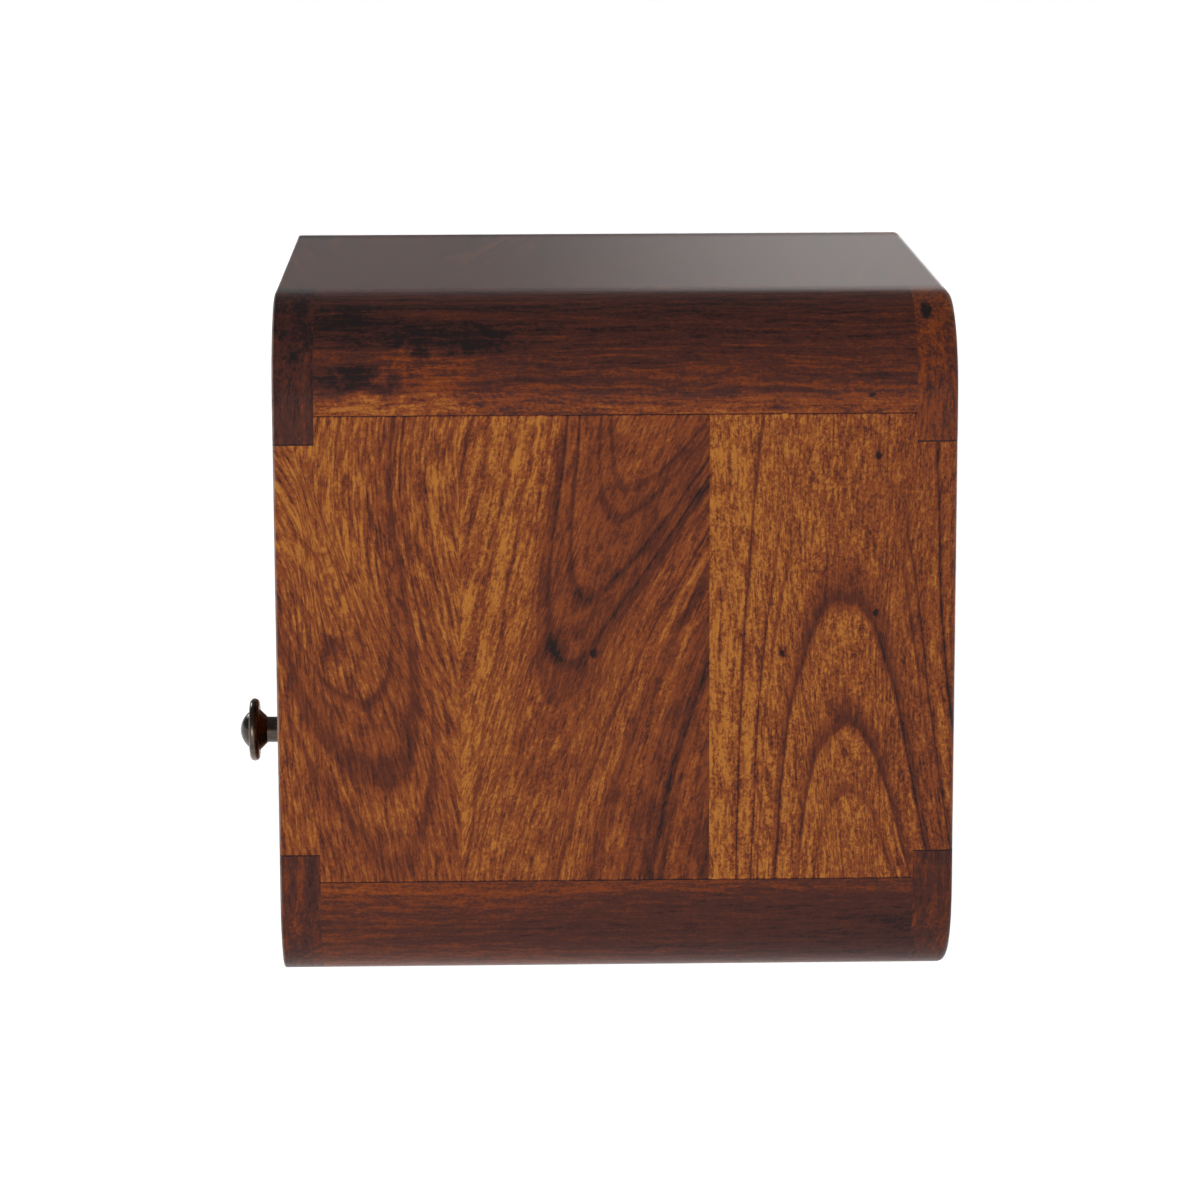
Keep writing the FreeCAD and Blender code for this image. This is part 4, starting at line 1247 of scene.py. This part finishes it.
@dataclass(frozen=True)
class Softbox:
    """A bright upright patch of the room: aim in plan, half width, lowest and highest reach, and glow."""

    aim: Triple
    half_width: float
    reach: Span
    glow: float
    core: float = 0.7
    front: Span = (0.1, 0.3)
    rim: float = 0.04

    def level(self, plan: Plan, towards: Socket) -> Socket:
        """The patch's light in a direction: inside its width and reach, with soft edges.

        Args:
            plan: Plan of the room.
            towards: The direction, a vector of length 1.

        Returns:
            The light.
        """
        aim = Vector(self.aim).normalized()
        beside = Vector((-aim.y, aim.x, 0.0))
        ahead, aside = (
            plan.add("VectorMath", {0: towards, 1: way}, operation="DOT_PRODUCT").outputs["Value"]
            for way in (aim, beside)
        )
        height = plan.split(towards)[2]
        low, high = self.reach
        core = self.core * self.half_width
        inside = plan.step(plan.math("ABSOLUTE", aside), self.half_width, core, 0.0, self.glow)
        bottom, top = (low, low + self.rim), (high, high - self.rim)
        for value, span in ((ahead, self.front), (height, bottom), (height, top)):
            inside = plan.math("MULTIPLY", inside, plan.step(value, *span))
        return inside


def hang_lamp(name: str, kind: str, energy: float, back: Vector, spot: Vector) -> bpy.types.Object:
    """A new lamp.

    Args:
        name: Name of the lamp.
        kind: Blender's type of the lamp.
        energy: Its strength.
        back: Direction that its light comes from.
        spot: Where it hangs.

    Returns:
        The lamp.
    """
    data = bpy.data.lights.new(name, kind)
    data.energy = energy
    lamp = place(name, data)
    lamp.rotation_mode = "QUATERNION"
    lamp.rotation_quaternion = back.to_track_quat("Z", "Y")
    lamp.location = spot
    return lamp


@dataclass
class Studio:
    """Camera, pale floor and soft light."""

    eye: Triple = (2.02186, -0.20139, 0.28142)
    ahead: Triple = (-0.98136, 0.023265, -0.190761)
    roll: float = -0.00296
    lens: float = 129.36
    sensor: float = 36.0
    clip: Span = (0.01, 100.0)
    floor_drop: float = -1.0
    floor_core: float = 1.0
    floor_flat: float = 10.0
    floor_reach: float = 20.0
    floor_rise: float = 1.8
    floor_rows: int = 16
    floor_turns: int = 96
    floor_tones: tuple[float, ...] = (0.3, 0.7, 0.86, 0.9)
    floor_lift: float = 0.38
    lamp_height: float = 25.0
    lamp_width: float = 50.0
    lamp_reach: float = 4.0
    lamps: tuple[tuple[str, float, float], ...] = (
        ("key", 45.0, 0.5), ("fill", 135.0, 1.12), ("side", 225.0, 1.12), ("back", 315.0, 1.12),
    )
    window_middle: Triple = (1.97, -1.85, -0.06)
    window_way: Triple = (0.757, -0.652, 0.0)
    window_size: Span = (1.0, 0.9)
    window_glow: float = 7.5
    room_tones: tuple[float, ...] = (-0.01, 0.09, 0.17, 0.49)
    overhead_rise: Span = (0.2, 0.5)
    overhead_tone: float = 0.16
    softbox: Softbox = Softbox((-0.75, -0.60, 0.0), 0.12, (0.34, 0.56), 9.0)

    def build_window(self) -> None:
        """A wide low lamp before the front right edge, whose light is the glow times pi times its area."""
        wide, tall = self.window_size
        energy = self.window_glow * math.pi * wide * tall
        lamp = hang_lamp("window", "AREA", energy, Vector(self.window_way), Vector(self.window_middle))
        lamp.data.shape = "RECTANGLE"
        lamp.data.size, lamp.data.size_y = self.window_size
        lamp.visible_camera = False

    def build_camera(self) -> None:
        """Place the camera where the photograph was taken: a pinhole with a slight roll."""
        data = bpy.data.cameras.new("camera")
        data.lens = self.lens
        data.sensor_width = self.sensor
        data.clip_start, data.clip_end = self.clip
        camera = place("camera", data)
        ahead = Vector(self.ahead).normalized()
        right = ahead.cross(Vector((0.0, 0.0, 1.0))).normalized()
        up = right.cross(ahead)
        turned = math.cos(self.roll) * right + math.sin(self.roll) * up
        risen = math.cos(self.roll) * up - math.sin(self.roll) * right
        matrix = Matrix((turned, risen, -ahead)).transposed().to_4x4()
        matrix.translation = Vector(self.eye)
        camera.matrix_world = matrix
        bpy.context.scene.camera = camera

    def build_floor(self) -> None:
        """A round sheet with a low rim, pale under the lamps and white to the camera.

        With s the share of the way from the flat's edge to the outer edge, 0 on the flat, z is the floor's
        height plus the rise times s squared, at each radius and angle; one point in the middle closes it.
        """
        rows = np.linspace(self.floor_flat, self.floor_reach, self.floor_rows)
        radius = np.concatenate([[self.floor_core], rows])[:, None]
        angle = np.linspace(0.0, 2.0 * math.pi, self.floor_turns, endpoint=False)
        share = np.clip((radius - self.floor_flat) / (self.floor_reach - self.floor_flat), 0.0, 1.0)
        height = self.floor_drop + self.floor_rise * share**2 + 0.0 * angle
        grid = np.stack([radius * np.cos(angle), radius * np.sin(angle), height], axis=-1)
        points = np.concatenate([grid.reshape(-1, 3), [[0.0, 0.0, self.floor_drop]]])
        number = np.arange(height.size).reshape(height.shape)
        after = np.roll(number, -1, axis=1)
        faces = np.stack([number[:-1], number[1:], after[1:], after[:-1]], axis=-1).reshape(-1, 4).tolist()
        faces += np.stack([np.full(angle.size, height.size), number[0], after[0]], axis=-1).tolist()
        mesh = bpy.data.meshes.new("floor")
        mesh.from_pydata(points.tolist(), [], faces)
        mesh.polygons.foreach_set("use_smooth", np.ones(len(faces), dtype=bool))
        floor = place("floor", mesh)
        made, plan = start_material("pale_floor")
        path = plan.add("LightPath").outputs
        seen = plan.total(path["Is Camera Ray"], path["Is Glossy Ray"], path["Is Transmission Ray"])
        cloud = plan.noise(plan.add("TexCoord").outputs["Object"], 3.0, 3.0)
        matt = plan.add("BsdfDiffuse", {"Color": plan.step(cloud, *self.floor_tones)})
        glow = plan.math("MULTIPLY", seen, self.floor_lift)
        lift = plan.add("Emission", {"Color": (1.0, 1.0, 1.0), "Strength": glow})
        both = plan.add("AddShader", {0: matt.outputs[0], 1: lift.outputs[0]})
        clear = plan.add("BsdfTransparent")
        under = plan.add("NewGeometry").outputs["Backfacing"]
        mixed = plan.add("MixShader", {0: under, 1: both.outputs[0], 2: clear.outputs[0]})
        plan.add("OutputMaterial", {"Surface": mixed.outputs[0]})
        mesh.materials.append(made)

    def build_light(self) -> None:
        """Four wide soft lamps around the cabinet, and a grey room that is lighter towards the wall side."""
        lift = math.radians(self.lamp_height)
        flat = math.cos(lift)
        for name, azimuth, strength in self.lamps:
            turn = math.radians(azimuth)
            back = Vector((flat * math.sin(turn), -flat * math.cos(turn), math.sin(lift)))
            lamp = hang_lamp(name, "SUN", strength, back, self.lamp_reach * back)
            lamp.data.angle = math.radians(self.lamp_width)
            lamp.visible_glossy = False
        world = bpy.data.worlds.new("grey_room")
        bpy.context.scene.world = world
        world.use_nodes = True
        world.node_tree.nodes.clear()
        plan = Plan(world.node_tree)
        towards = plan.add("TexCoord").outputs["Generated"]
        parts = plan.split(towards)
        level = plan.step(parts[1], *self.room_tones)
        overhead = plan.step(parts[2], *self.overhead_rise)
        level = plan.math("MULTIPLY_ADD", overhead, plan.math("SUBTRACT", self.overhead_tone, level), level)
        level = plan.math("ADD", level, self.softbox.level(plan, towards))
        back = plan.add("Background", {"Color": plan.join(level, level, level), "Strength": 1.0})
        plan.add("OutputWorld", {"Surface": back.outputs[0]})

    def build(self) -> None:
        """Camera, floor and light, with colours shown as they are written."""
        self.build_camera()
        self.build_floor()
        self.build_light()
        self.build_window()
        bpy.context.scene.view_settings.view_transform = "Standard"


def main() -> None:
    """Dress each sub-assembly in turn, set the stage, and note the sizes."""
    logging.basicConfig(level=logging.INFO, format="%(message)s")
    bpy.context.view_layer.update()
    for part in (Carcass(), Inside(), Drawer()):
        part.build()
        part.dress()
    Studio().build()


if __name__ == "__main__":
    main()
